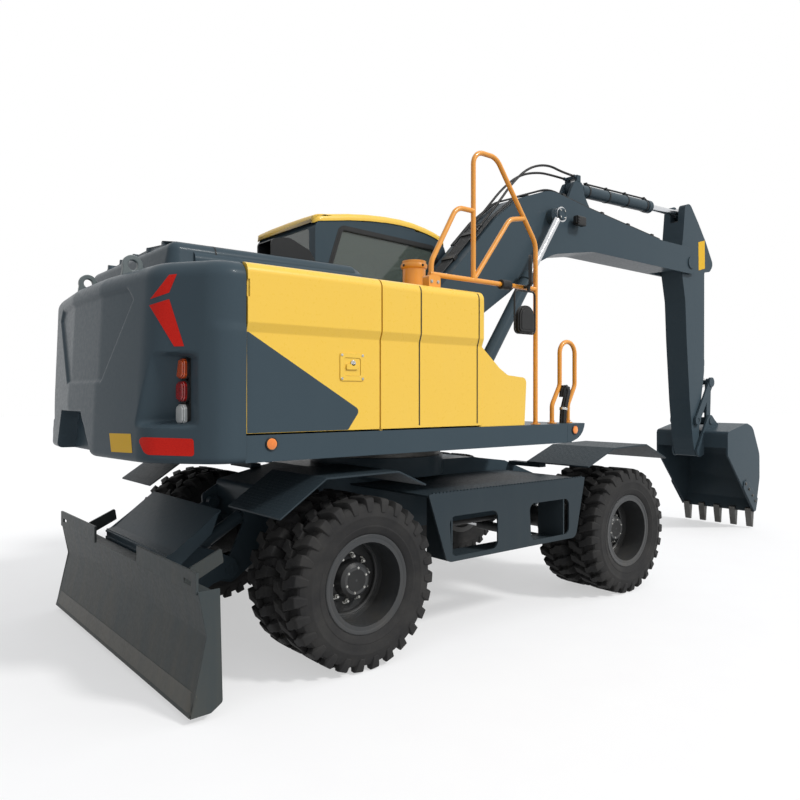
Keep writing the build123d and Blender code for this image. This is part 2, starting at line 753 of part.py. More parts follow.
for side in (-1, 1):
    y_low = BOOM_Y + min(side * BRACKET_INNER, side * BRACKET_OUTER)
    upper += side_plate(bracket_rows, y_low, y_low + 24)
    y_start = BOOM_Y + side * BRACKET_OUTER
    y_end = BOOM_Y + side * (BOOM_CYL_DY + 34)
    upper += bar_y(BOOM_CYL_FOOT[0], BOOM_CYL_FOOT[1], 34, min(y_start, y_end), max(y_start, y_end))
    upper += bar_y(
        BOOM_FOOT[0], BOOM_FOOT[1], 70, min(y_start, y_start + side * 12),
        max(y_start, y_start + side * 12))
keep("upper_frame", upper)

# Counterweight

CW_HOLE = 28.0
LIFT_EYE = (-1085.0, 2352.0)
LIFT_EYE_Y = 430.0
counterweight = plan_plate([
    (COUNTERWEIGHT_X - SEAT_GAP, -BODY_HALF, 0),
    (-900, -BODY_HALF, 90),
    (-1190, -800, 260),
    (-1250, -300, 500),
    (-1250, 300, 500),
    (-1190, 800, 260),
    (-900, BODY_HALF, 90),
    (COUNTERWEIGHT_X - SEAT_GAP, BODY_HALF, 0),
], FRAME_BOTTOM, PANEL_TOP)
top_rim = counterweight.faces().sort_by(Axis.Z)[-1].edges()
top_rim = [edge for edge in top_rim if edge.center().X < COUNTERWEIGHT_X - 20]
counterweight = fillet(top_rim, 70)
for side in (-1, 1):
    y_low = side * LIFT_EYE_Y - 18
    lug = side_plate([
        (LIFT_EYE[0] - 120, 2280, 0),
        (LIFT_EYE[0] - 60, LIFT_EYE[1] + 58, 50),
        (LIFT_EYE[0] + 60, LIFT_EYE[1] + 58, 50),
        (LIFT_EYE[0] + 120, 2280, 0),
    ], y_low, y_low + 36)
    lug -= bar_y(LIFT_EYE[0], LIFT_EYE[1], CW_HOLE, y_low - 1, y_low + 37)
    counterweight += lug
keep("counterweight", counterweight)

# Side panels, hood and doors

HOOD_REAR = -930.0
HOOD_FRONT = CAB_REAR - 20
BULGE = 18.0
ROLL_RADIUS = 58.0
DOOR_GAP = MOVE_GAP
DOOR_FRONT_GAP = 10.0
DOOR_INNER = BODY_HALF + BULGE - ROLL_RADIUS - 2
HINGE_RADIUS = 11.0
HINGE_HEIGHTS = [(1520, 1600), (2120, 2200)]


def panel_rows(inner):
    """Section of a left side panel's wall as (y, z, radius), from its foot to an inner edge."""
    rows = [
        (BODY_HALF, PANEL_BOTTOM, 0),
        (BODY_HALF, 1935, 20),
        (BODY_HALF + BULGE, 1985, 20),
        (BODY_HALF + BULGE, PANEL_TOP, ROLL_RADIUS),
        (inner, PANEL_TOP, 0),
        (inner, PANEL_TOP - PANEL_WALL, 0),
        (BODY_HALF + BULGE - PANEL_WALL, PANEL_TOP - PANEL_WALL, ROLL_RADIUS - PANEL_WALL),
        (BODY_HALF + BULGE - PANEL_WALL, 1992, 20),
        (BODY_HALF - PANEL_WALL, 1942, 20),
        (BODY_HALF - PANEL_WALL, PANEL_BOTTOM, 0),
    ]
    return rows


DOOR_REAR = COUNTERWEIGHT_X + DOOR_GAP
door_section = front_plate(panel_rows(DOOR_INNER), DOOR_REAR, DOOR_FRONT_X - DOOR_FRONT_GAP)
hinge_pins = None
for z_low, z_high in HINGE_HEIGHTS:
    hinge_y = BODY_HALF + BULGE
    door_section -= rod(
        (DOOR_REAR, hinge_y, z_low - MOVE_GAP), (DOOR_REAR, hinge_y, z_high + MOVE_GAP),
        HINGE_RADIUS + RUN_GAP)
    pin = rod((DOOR_REAR, hinge_y, z_low), (DOOR_REAR, hinge_y, z_high), HINGE_RADIUS)
    pin += box(
        COUNTERWEIGHT_X - 40, DOOR_REAR - MOVE_GAP / 2, BODY_HALF - 15, hinge_y + HINGE_RADIUS / 2, z_low, z_high)
    hinge_pins = pin if hinge_pins is None else hinge_pins + pin
keep("left_engine_door", door_section)
keep("right_engine_door", mirror(door_section, Plane.XZ))
counterweight = counterweight + hinge_pins + mirror(hinge_pins, Plane.XZ)
keep("counterweight", counterweight)

# The hood carries the top between the doors
RIGHT_DECK_FRONT = 952.0
HUMP_RIGHT = -600.0
HUMP_LEFT = 960.0
HUMP_FRONT = 430.0
LEFT_INNER = DOOR_INNER - SEAT_GAP
hood = box(
    COUNTERWEIGHT_X + SEAT_GAP, DOOR_FRONT_X - SEAT_GAP, -DOOR_INNER + MOVE_GAP,
    DOOR_INNER - MOVE_GAP, PANEL_TOP - PANEL_WALL, PANEL_TOP)
hood += box(
    DOOR_FRONT_X - 1, HUMP_FRONT, HUMP_RIGHT, DOOR_INNER - MOVE_GAP, PANEL_TOP - PANEL_WALL, PANEL_TOP)
hump = front_plate([
    (HUMP_RIGHT, PANEL_TOP - 10, 0),
    (HUMP_RIGHT, HOOD_TOP - 10, 60),
    (HUMP_RIGHT + 120, HOOD_TOP + 60, 60),
    (HUMP_LEFT - 80, HOOD_TOP + 60, 80),
    (HUMP_LEFT, HOOD_TOP - 30, 80),
    (HUMP_LEFT, PANEL_TOP - 10, 0),
], COUNTERWEIGHT_X + SEAT_GAP, HUMP_FRONT)
hood += hump
keep("engine_hood", hood)

# Fixed right panels from the door to the front trim, closed box with a nose
def to_right(rows):
    """Rows of a left panel's section, turned over for the right side."""
    return [(-y, z, radius) for y, z, radius in reversed(rows)]


right_panels = front_plate(
    to_right(panel_rows(-HUMP_RIGHT + SEAT_GAP)), DOOR_FRONT_X, RIGHT_DECK_FRONT)
right_panels += front_plate(to_right(panel_rows(420)), HUMP_FRONT + SEAT_GAP, RIGHT_DECK_FRONT)
right_panels += box(
    DOOR_FRONT_X, DOOR_FRONT_X + 20, -BODY_HALF + 10, HUMP_RIGHT - SEAT_GAP,
    FRAME_TOP + SEAT_GAP, PANEL_TOP - 10)
right_panels += box(
    RIGHT_DECK_FRONT - 20, RIGHT_DECK_FRONT, -BODY_HALF + 10, -420,
    FRAME_TOP + SEAT_GAP, PANEL_TOP - 10)
right_panels += box(
    HUMP_FRONT + SEAT_GAP, RIGHT_DECK_FRONT, -440, -420, FRAME_TOP + SEAT_GAP, PANEL_TOP - 10)
nose = side_plate([
    (RIGHT_DECK_FRONT - 10, FRAME_TOP + SEAT_GAP, 0),
    (RIGHT_DECK_FRONT - 10, 1945, 0),
    (1127, 1797, 60),
    (1210, 1750, 60),
    (1406, 1734, 40),
    (1385, FRAME_TOP + SEAT_GAP, 0),
], -BODY_HALF + 5, -520)
right_panels += nose
keep("right_panels", right_panels)

left_panels = front_plate(panel_rows(DOOR_INNER - MOVE_GAP + SEAT_GAP), DOOR_FRONT_X, CAB_REAR - 20)
left_panels += box(
    DOOR_FRONT_X, DOOR_FRONT_X + 20, 900, BODY_HALF - 5, FRAME_TOP + SEAT_GAP, PANEL_TOP - PANEL_WALL - SEAT_GAP)
left_panels += box(
    CAB_REAR - 40, CAB_REAR - 20, 250, BODY_HALF - 5, FRAME_TOP + SEAT_GAP, PANEL_TOP - 10)
left_panels += box(
    HUMP_FRONT + SEAT_GAP, CAB_REAR - 20, 250, BODY_HALF - 60, PANEL_TOP - PANEL_WALL, PANEL_TOP)
keep("left_panels", left_panels)

keep("engine_block", box(-690, 340, -420, 480, FRAME_TOP + SEAT_GAP, 2180))

exhaust = side_plate([
    (-170, HOOD_TOP + 60.3, 0),
    (-170, 2640, 30),
    (-40, 2665, 60),
    (120, 2600, 60),
    (190, HOOD_TOP + 60.3, 0),
], -400, -200)
exhaust -= box(-180, -60, -385, -215, 2520, 2630)
keep("exhaust_cover", exhaust)

filter_housing = rod((757, -750, PANEL_TOP + SEAT_GAP), (757, -750, 2545), 80)
keep("filter_housing", filter_housing)

# Cab

cab_side = [
    (CAB_REAR, FRAME_TOP + SEAT_GAP, 0),
    (CAB_REAR, 2960, 60),
    (CAB_REAR + 70, CAB_ROOF, 60),
    (1880, CAB_ROOF, 60),
    (1975, 2960, 120),
    (2150, 2250, 200),
    (2150, 1700, 100),
    (2080, FRAME_TOP + SEAT_GAP, 0),
]
cab = side_plate(cab_side, CAB_RIGHT, CAB_LEFT)
cab_inside = side_plate([
    (CAB_REAR + CAB_WALL, CAB_FLOOR, 40),
    (CAB_REAR + CAB_WALL, 2960, 60),
    (CAB_REAR + 110, CAB_ROOF - CAB_WALL, 60),
    (1860, CAB_ROOF - CAB_WALL, 60),
    (1930, 2950, 100),
    (2105, 2245, 180),
    (2105, 1710, 80),
    (2045, CAB_FLOOR, 40),
], CAB_RIGHT + CAB_WALL, CAB_LEFT - CAB_WALL)
cab -= cab_inside
RIGHT_WINDOW = [
    (690, 2000, 40),
    (690, 2550, 60),
    (833, 2975, 40),
    (1837, 2940, 60),
    (2040, 2250, 60),
    (2040, 2000, 40),
]
DOOR_REAR_X = 760.0
DOOR_FRONT_EDGE = 1640.0
DOOR_LOW = 1470.0
DOOR_TOP = 2980.0
FRONT_LEFT_WINDOW = [
    (1700, 2000, 40),
    (1700, 2930, 40),
    (1860, 2930, 60),
    (2040, 2250, 60),
    (2040, 2000, 40),
]


def pane_face(rows):
    """The face of a pane that fits its window's rows with the seat's gap all round."""
    return offset(make_face(outline(rows)), -SEAT_GAP)


def side_pane(rows, y_low, y_high):
    """A pane of glass in a window cut to rows of (x, z, radius)."""
    return extrude(Plane.XZ.offset(-y_high) * pane_face(rows), y_high - y_low)


def front_pane(rows, x_low, x_high):
    """A pane of glass in a window cut to rows of (y, z, radius)."""
    return extrude(Plane.YZ.offset(x_low) * pane_face(rows), x_high - x_low)


cab -= side_plate(RIGHT_WINDOW, CAB_RIGHT - 1, CAB_RIGHT + CAB_WALL + 1)
cab -= side_plate(FRONT_LEFT_WINDOW, CAB_LEFT - CAB_WALL - 1, CAB_LEFT + 1)
cab -= side_plate([
    (DOOR_REAR_X, DOOR_LOW, 40),
    (DOOR_REAR_X, DOOR_TOP, 60),
    (DOOR_FRONT_EDGE, DOOR_TOP, 60),
    (DOOR_FRONT_EDGE, DOOR_LOW, 40),
], CAB_LEFT - CAB_WALL - 1, CAB_LEFT + 1)
REAR_WINDOW = [
    (340, 2150, 50),
    (340, 2960, 50),
    (1120, 2960, 50),
    (1120, 2150, 50),
]
cab -= front_plate(REAR_WINDOW, CAB_REAR - 1, CAB_REAR + CAB_WALL + 1)
FRONT_WINDOW = [
    (CAB_RIGHT + 60, 1560, 50),
    (CAB_RIGHT + 60, 2900, 50),
    (CAB_LEFT - 60, 2900, 50),
    (CAB_LEFT - 60, 1560, 50),
]
cab -= front_plate(FRONT_WINDOW, 1900, 2200)

roof = side_plate([
    (CAB_REAR - 5, CAB_ROOF + SEAT_GAP, 0),
    (CAB_REAR + 30, CAB_ROOF + 50, 20),
    (1200, CAB_ROOF + 75, 300),
    (1900, CAB_ROOF + 40, 20),
    (1930, CAB_ROOF + SEAT_GAP, 0),
], CAB_RIGHT + 5, CAB_LEFT - 5)
keep("cab_roof", roof)

right_pane = side_pane(RIGHT_WINDOW, CAB_RIGHT + 12, CAB_RIGHT + 12 + GLASS)
left_pane = side_pane(FRONT_LEFT_WINDOW, CAB_LEFT - 12 - GLASS, CAB_LEFT - 12)
rear_pane = front_pane(REAR_WINDOW, CAB_REAR + 12, CAB_REAR + 12 + GLASS)
front_sheet = side_plate([
    (2140, 1540, 0),
    (2140, 2249, 200),
    (1962, 2970, 0),
    (1962 - 8, 2968, 0),
    (2132, 2247, 192),
    (2132, 1540, 0),
], CAB_RIGHT + 60 + SEAT_GAP, CAB_LEFT - 60 - SEAT_GAP)
front_sheet &= front_pane(FRONT_WINDOW, 1900, 2200)
keep("cab_glass", right_pane, left_pane, rear_pane, front_sheet)

door_rows = [
    (DOOR_REAR_X + MOVE_GAP, DOOR_LOW + MOVE_GAP, 40),
    (DOOR_REAR_X + MOVE_GAP, DOOR_TOP - MOVE_GAP, 60),
    (DOOR_FRONT_EDGE - MOVE_GAP, DOOR_TOP - MOVE_GAP, 60),
    (DOOR_FRONT_EDGE - MOVE_GAP, DOOR_LOW + MOVE_GAP, 40),
]
DOOR_WINDOW = [
    (DOOR_REAR_X + 80, 2000, 40),
    (DOOR_REAR_X + 80, DOOR_TOP - 80, 40),
    (DOOR_FRONT_EDGE - 80, DOOR_TOP - 80, 40),
    (DOOR_FRONT_EDGE - 80, 2000, 40),
]
door = side_plate(door_rows, CAB_LEFT - CAB_WALL, CAB_LEFT)
cab_hinge_x = DOOR_REAR_X + MOVE_GAP
for z_low, z_high in ((1620, 1700), (2720, 2800)):
    door -= rod(
        (cab_hinge_x, CAB_LEFT, z_low - MOVE_GAP), (cab_hinge_x, CAB_LEFT, z_high + MOVE_GAP),
        HINGE_RADIUS + RUN_GAP)
    cab += rod((cab_hinge_x, CAB_LEFT, z_low), (cab_hinge_x, CAB_LEFT, z_high), HINGE_RADIUS)
keep("cab_shell", cab)
door -= side_plate(DOOR_WINDOW, CAB_LEFT - CAB_WALL - 1, CAB_LEFT + 1)
keep("cab_door", door)
keep("cab_door_glass", side_pane(DOOR_WINDOW, CAB_LEFT - 12 - GLASS, CAB_LEFT - 12))

SEAT_X = 1150.0
SEAT_Y = (CAB_RIGHT + CAB_LEFT) / 2
seat = box(SEAT_X - 200, SEAT_X + 200, SEAT_Y - 200, SEAT_Y + 200, CAB_FLOOR + SEAT_GAP, 1700)
seat += box(SEAT_X - 240, SEAT_X + 250, SEAT_Y - 250, SEAT_Y + 250, 1700, 1800)
seat += box(SEAT_X - 300, SEAT_X - 180, SEAT_Y - 240, SEAT_Y + 240, 1780, 2480)
keep("seat_and_console", seat)

# Handrails and mirrors

PIPE = 17.0
RAIL_Y = -1150.0
FOOT_RADIUS = 36.0
FOOT_PLATE = 6.0


def pipe_run(rows, y):
    """A bent pipe through rows of (x, z, bend radius) at one y, with a foot plate at each end."""
    radii = [row[2] for row in rows[1:-1]]
    path = FilletPolyline(*[(row[0], y, row[1]) for row in rows], radius=radii)
    section = Plane(origin=path @ 0, z_dir=path % 0) * Circle(PIPE)
    run = sweep(section, path)
    for x, z, radius in (rows[0], rows[-1]):
        run += rod((x, y, z), (x, y, z + FOOT_PLATE), FOOT_RADIUS)
    return run


FOOT_Z = FRAME_TOP + SEAT_GAP
rail = pipe_run([
    (1580, FOOT_Z, 0),
    (1580, 2694, 160),
    (1141, 3256, 120),
    (985, 3256, 90),
    (919, 2500, 120),
    (919, PANEL_TOP + SEAT_GAP, 0),
], RAIL_Y)
CROSS_Z = 2385.0
rail += rod((919, RAIL_Y, CROSS_Z), (1580, RAIL_Y, CROSS_Z), PIPE)
front_loop = pipe_run([
    (1844, FOOT_Z, 0),
    (1844, 1640, 80),
    (1890, 1760, 80),
    (1890, 2026, 60),
    (2025, 2026, 60),
    (2000, 1640, 80),
    (2000, FOOT_Z, 0),
], -1090.0)
keep("handrails", rail, front_loop)

MIRROR_X = 1415.0
mirror_case = side_plate([
    (1330, 2060, 30),
    (1330, 2350, 30),
    (1500, 2350, 30),
    (1500, 2060, 30),
], -1232, -1192)
mirror_stem = rod((MIRROR_X, -1195, 2250), (MIRROR_X, RAIL_Y - 24, CROSS_Z), 9)
clamp = rod((MIRROR_X - 25, RAIL_Y, CROSS_Z), (MIRROR_X + 25, RAIL_Y, CROSS_Z), PIPE + 12)
clamp -= rod(
    (MIRROR_X - 26, RAIL_Y, CROSS_Z), (MIRROR_X + 26, RAIL_Y, CROSS_Z), PIPE + SEAT_GAP)
keep("mirrors", mirror_case + (mirror_stem - rod(
    (MIRROR_X - 26, RAIL_Y, CROSS_Z), (MIRROR_X + 26, RAIL_Y, CROSS_Z), PIPE + 6)) + clamp)

# Boom


def arm_y(low, high):
    """y limits about the plane of the boom."""
    return (BOOM_Y + low, BOOM_Y + high)


boom_rows = [
    (1000, 1880, 110),
    (1000, 2040, 110),
    (2099, 3154, 400),
    (2408, 3386, 400),
    (2846, 3540, 500),
    (3504, 3458, 800),
    (4779, 3332, 300),
    (5240, 3333, 0),
    (5400, 3325, 120),
    (5545, 3200, 120),
    (5500, 3030, 120),
    (3500, 3043, 800),
    (2899, 2945, 500),
    (2677, 2842, 300),
    (2280, 2529, 400),
    (1200, 1840, 110),
]
y_low, y_high = arm_y(-BOOM_HALF, BOOM_HALF)
boom = side_plate(boom_rows, y_low, y_high)
fork_inner = BOOM_HALF - FORK_PLATE
FORK_BACK = ARM_PIVOT[0] - 370
y_low, y_high = arm_y(-fork_inner, fork_inner)
boom -= side_plate([
    (FORK_BACK - 150, 3500, 0),
    (FORK_BACK - 150, 3365, 0),
    (FORK_BACK, 3220, 0),
    (FORK_BACK, 2900, 0),
    (ARM_PIVOT[0] + 400, 2900, 0),
    (ARM_PIVOT[0] + 400, 3500, 0),
], y_low, y_high)
boom_pin = bar_y(
    BOOM_FOOT[0], BOOM_FOOT[1], 45,
    BOOM_Y - BRACKET_INNER + SEAT_GAP, BOOM_Y + BRACKET_INNER - SEAT_GAP)
boom += boom_pin
for side in (-1, 1):
    y_start = BOOM_Y + side * (BOOM_HALF - 5)
    y_end = BOOM_Y + side * (BOOM_CYL_DY - 36)
    boom += bar_y(BOOM_CYL_PIN[0], BOOM_CYL_PIN[1], 75, min(y_start, y_end), max(y_start, y_end))
    y_start = BOOM_Y + side * 46
    y_end = BOOM_Y + side * 76
    boom += side_plate([
        (3180, 3460, 0),
        (3335, 3745, 60),
        (3462, 3745, 60),
        (3490, 3620, 40),
        (3640, 3430, 0),
    ], min(y_start, y_end), max(y_start, y_end))
    y_cap = BOOM_Y + side * BOOM_HALF
    boom += bar_y(
        ARM_PIVOT[0], ARM_PIVOT[1], 70, min(y_cap, y_cap + side * 12), max(y_cap, y_cap + side * 12))
y_low, y_high = arm_y(-76, 76)
boom += bar_y(ARM_CYL_BASE[0], ARM_CYL_BASE[1], 30, y_low, y_high)
y_low, y_high = arm_y(-fork_inner, fork_inner)
boom += bar_y(ARM_PIVOT[0], ARM_PIVOT[1], 45, y_low, y_high)
keep("boom", boom)

PIPE_ROW = 30.0
HARD_PIPE = 10.0
CLAMP_HEIGHT = 34.0


def on_line(start, end, distance, height):
    """The (x, z) point at a distance along a line and a height to its left."""
    length = span(start, end)
    unit_x = (end[0] - start[0]) / length
    unit_z = (end[1] - start[1]) / length
    x = start[0] + unit_x * distance - unit_z * height
    z = start[1] + unit_z * distance + unit_x * height
    return (x, z)


BACK_LOW = (1000.0, 2040.0)
BACK_HIGH = (2099.0, 3154.0)
PIPES_FROM = 700.0
PIPES_TO = 1330.0
pipe_set = None
for index in range(5):
    y = BOOM_Y + (index - 2) * PIPE_ROW
    start = on_line(BACK_LOW, BACK_HIGH, PIPES_FROM, CLAMP_HEIGHT / 2)
    end = on_line(BACK_LOW, BACK_HIGH, PIPES_TO, CLAMP_HEIGHT / 2)
    pipe = rod(at_y(start, y), at_y(end, y), HARD_PIPE)
    pipe_set = pipe if pipe_set is None else pipe_set + pipe
for distance in (PIPES_FROM + 60, PIPES_TO - 60):
    corners = [
        on_line(BACK_LOW, BACK_HIGH, distance - 25, SEAT_GAP),
        on_line(BACK_LOW, BACK_HIGH, distance + 25, SEAT_GAP),
        on_line(BACK_LOW, BACK_HIGH, distance + 25, CLAMP_HEIGHT),
        on_line(BACK_LOW, BACK_HIGH, distance - 25, CLAMP_HEIGHT),
    ]
    pipe_set += side_plate(corners, BOOM_Y - 2.6 * PIPE_ROW, BOOM_Y + 2.6 * PIPE_ROW)
keep("boom_pipes", pipe_set)

# Boom cylinders

boom_barrels = []
boom_rods = []
for side in (-1, 1):
    y = BOOM_Y + side * BOOM_CYL_DY
    barrel, piston = cylinder_set(
        BOOM_CYL_FOOT, BOOM_CYL_PIN, y, BOOM_CYL_RADIUS, BOOM_ROD_RADIUS, 1440, 33, 70, 34)
    boom_barrels.append(barrel)
    boom_rods.append(piston)
keep("boom_cylinder_barrels", *boom_barrels)
keep("boom_cylinder_rods", *boom_rods)

arm_barrel, arm_rod = cylinder_set(
    ARM_CYL_BASE, ARM_CYL_PIN, BOOM_Y, ARM_CYL_RADIUS, ARM_ROD_RADIUS, 1370, 40, 70, 30)
keep("arm_cylinder_barrel", arm_barrel)
keep("arm_cylinder_rod", arm_rod)

# Arm

arm_rows = [
    (5330, 3830, 60),
    (5440, 3860, 80),
    (5617, 3677, 100),
    (5799, 3469, 150),
    (5925, 3290, 60),
    (5985, 3205, 70),
    (5900, 3112, 70),
    (5771, 3097, 30),
    (5771, 1900, 300),
    (5668, 1420, 200),
    (5650, 1180, 100),
    (5686, 960, 60),
    (5650, 897, 50),
    (5580, 897, 50),
    (5541, 980, 60),
    (5500, 1120, 200),
    (5436, 1565, 0),
    (5366, 2263, 600),
    (5335, 2720, 400),
    (5262, 3020, 100),
    (5225, 3200, 150),
    (5280, 3440, 200),
]
y_low, y_high = arm_y(-ARM_HALF, ARM_HALF)
arm = side_plate(arm_rows, y_low, y_high)
y_low, y_high = arm_y(-50, 50)
arm -= box(5100, 5600, y_low, y_high, 3640, 3950)
arm -= side_plate([
    (5800, 3060, 0),
    (5800, 3330, 0),
    (6100, 3330, 0),
    (6100, 3060, 0),
], y_low - 6, y_high + 6)
y_low, y_high = arm_y(-fork_inner + RUN_GAP, fork_inner - RUN_GAP)
arm += bar_y(ARM_PIVOT[0], ARM_PIVOT[1], 110, y_low, y_high)
arm -= bar_y(ARM_PIVOT[0], ARM_PIVOT[1], 45 + RUN_GAP, y_low - 5, y_high + 5)
y_low, y_high = arm_y(-57, 57)
arm += bar_y(BUCKET_CYL_BASE[0], BUCKET_CYL_BASE[1], 28, y_low, y_high)
LEVER_IN = ARM_HALF + MOVE_GAP
LEVER_OUT = LEVER_IN + LEVER_PLATE
y_low, y_high = arm_y(-LEVER_OUT, LEVER_OUT)
arm += bar_y(LEVER_PIN[0], LEVER_PIN[1], 28, y_low, y_high)
EAR_IN = ARM_HALF + MOVE_GAP
EAR_OUT = EAR_IN + EAR_PLATE
y_low, y_high = arm_y(-EAR_OUT, EAR_OUT)
arm += bar_y(BUCKET_PIN[0], BUCKET_PIN[1], 32, y_low, y_high)
keep("arm", arm)

bucket_barrel, bucket_rod = cylinder_set(
    BUCKET_CYL_BASE, LEVER_TOP, BOOM_Y, BUCKET_CYL_RADIUS, BUCKET_ROD_RADIUS, 1230, ROD_EYE_HALF, 62, 28)
keep("bucket_cylinder_barrel", bucket_barrel)
keep("bucket_cylinder_rod", bucket_rod)


def link_plate(start, end, half_width, y_low, y_high):
    """A flat link with round ends between two (x, z) pins."""
    direction = degrees(atan2(end[1] - start[1], end[0] - start[0]))
    length = span(start, end)
    shape = Pos(start[0], start[1]) * Rot(0, 0, direction) * Pos(length / 2, 0) * SlotCenterToCenter(
        length, half_width * 2)
    return extrude(Plane.XZ.offset(-y_high) * shape, y_high - y_low)


LEVER_BOSS = 58.0
levers = []
for side in (-1, 1):
    y_start, y_end = arm_y(side * LEVER_IN, side * LEVER_OUT)
    plate = link_plate(LEVER_PIN, LEVER_TOP, 48, min(y_start, y_end), max(y_start, y_end))
    y_face, y_cap = arm_y(side * LEVER_IN, side * (LEVER_OUT + 6))
    plate += bar_y(*LEVER_PIN, LEVER_BOSS, min(y_face, y_cap), max(y_face, y_cap))
    plate += bar_y(*LEVER_TOP, LEVER_BOSS, min(y_face, y_cap), max(y_face, y_cap))
    plate -= bar_y(LEVER_PIN[0], LEVER_PIN[1], 28 + RUN_GAP, y_start - 50, y_end + 50)
    y_stub, y_end = arm_y(side * (ROD_EYE_HALF + PIVOT_GAP), side * LEVER_OUT)
    plate += bar_y(LEVER_TOP[0], LEVER_TOP[1], 28, min(y_stub, y_end), max(y_stub, y_end))
    levers.append(plate)
keep("tipping_levers", *levers)

link = None
for side in (-1, 1):
    y_start, y_end = arm_y(side * 98, side * 128)
    plate = link_plate(LEVER_TOP, LINK_PIN, 46, min(y_start, y_end), max(y_start, y_end))
    link = plate if link is None else link + plate
middle = along(LEVER_TOP, LINK_PIN, 330)
y_low, y_high = arm_y(-128, 128)
link += bar_y(middle[0], middle[1], 40, y_low, y_high)
link += bar_y(LINK_PIN[0], LINK_PIN[1], 46, y_low, y_high)
link -= bar_y(LEVER_TOP[0], LEVER_TOP[1], 28 + RUN_GAP, y_low - 5, y_high + 5)
keep("push_link", link)

# Bucket

bucket_rows = [
    (5703, 923, 0),
    (5700, 1190, 50),
    (6180, 1285, 100),
    (6330, 1235, 160),
    (6509, 900, 200),
    (6512, 600, 250),
    (6440, 330, 100),
    (6364, 199, 0),
]
inside_rows = [
    (5690, 900, 0),
    (5722, 1165, 40),
    (6175, 1263, 90),
    (6310, 1215, 150),
    (6487, 892, 190),
    (6490, 605, 240),
    (6420, 345, 90),
    (6330, 180, 0),
]
y_low, y_high = arm_y(-BUCKET_HALF, BUCKET_HALF)
bucket = side_plate(bucket_rows, y_low, y_high)
bucket -= side_plate(inside_rows, y_low + 20, y_high - 20)
for side in (-1, 1):
    y_start, y_end = arm_y(side * EAR_IN, side * EAR_OUT)
    ear = side_plate([
        (5540, 960, 60),
        (5600, 880, 60),
        (5715, 915, 0),
        (5715, 1180, 0),
        (6060, 1262, 0),
        (5960, 1330, 40),
        (5880, 1400, 70),
        (5800, 1350, 60),
    ], min(y_start, y_end), max(y_start, y_end))
    ear -= bar_y(BUCKET_PIN[0], BUCKET_PIN[1], 32 + RUN_GAP, y_start - 50, y_end + 50)
    bucket += ear
LINK_HALF = 128.0
for side in (-1, 1):
    y_face, y_cap = arm_y(side * (LINK_HALF + PIVOT_GAP), side * (EAR_OUT + 10))
    bucket += bar_y(LINK_PIN[0], LINK_PIN[1], 42, min(y_face, y_cap), max(y_face, y_cap))
keep("bucket", bucket)

teeth = []
wall_face = make_face(outline(bucket_rows)) - make_face(outline(inside_rows))
wall_space = extrude(Plane.XZ.offset(-1000) * offset(wall_face, SEAT_GAP), 2000)
TOOTH_COUNT = 5
TOOTH_HALF = 36.0
for index in range(TOOTH_COUNT):
    shift = -BUCKET_HALF + 20 + TOOTH_HALF + index * (2 * BUCKET_HALF - 40 - 2 * TOOTH_HALF) / (
        TOOTH_COUNT - 1)
    tooth = side_plate([
        (6322, 240, 0),
        (6326, 180, 20),
        (6362, 14, 8),
        (6386, 14, 8),
        (6404, 190, 60),
        (6450, 300, 20),
        (6425, 312, 0),
        (6372, 214, 0),
        (6358, 250, 0),
    ], BOOM_Y + shift - TOOTH_HALF, BOOM_Y + shift + TOOTH_HALF)
    tooth -= wall_space
    teeth.append(tooth)
keep("bucket_teeth", *teeth)

os.makedirs("parts", exist_ok=True)
move = Pos(SHIFT_X, 0, 0)
for name, solids in NODES.items():
    flat = []
    for solid in solids:
        moved = move * solid
        flat.extend(moved.solids())
    if len(flat) == 1:
        shape = flat[0]
    else:
        shape = Compound(children=flat)
    shape.label = name
    export_step(shape, f"parts/{name}.step")
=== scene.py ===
import json
import math
import bpy
import bmesh
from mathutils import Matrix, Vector
from mathutils.bvhtree import BVHTree


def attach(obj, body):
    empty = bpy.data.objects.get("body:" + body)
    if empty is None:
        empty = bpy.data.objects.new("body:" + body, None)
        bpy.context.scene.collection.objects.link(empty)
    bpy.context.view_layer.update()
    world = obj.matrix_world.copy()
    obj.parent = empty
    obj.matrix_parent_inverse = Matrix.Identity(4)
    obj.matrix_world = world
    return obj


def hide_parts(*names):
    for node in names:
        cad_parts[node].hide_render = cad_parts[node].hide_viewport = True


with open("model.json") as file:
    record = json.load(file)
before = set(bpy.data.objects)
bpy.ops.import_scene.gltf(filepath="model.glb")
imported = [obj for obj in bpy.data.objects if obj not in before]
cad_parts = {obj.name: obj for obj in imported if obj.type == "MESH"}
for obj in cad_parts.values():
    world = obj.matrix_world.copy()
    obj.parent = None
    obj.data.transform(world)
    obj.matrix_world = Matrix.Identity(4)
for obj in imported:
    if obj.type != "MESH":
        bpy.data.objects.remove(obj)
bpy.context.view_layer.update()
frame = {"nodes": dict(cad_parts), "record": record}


def linear(value):
    """One channel of a screen colour, 0 to 255, as linear light."""
    share = value / 255
    if share <= 0.04045:
        return share / 12.92
    return ((share + 0.055) / 1.055) ** 2.4


def colour(red, green, blue):
    """A screen colour as a linear colour with full cover."""
    return (linear(red), linear(green), linear(blue), 1.0)


# Materials


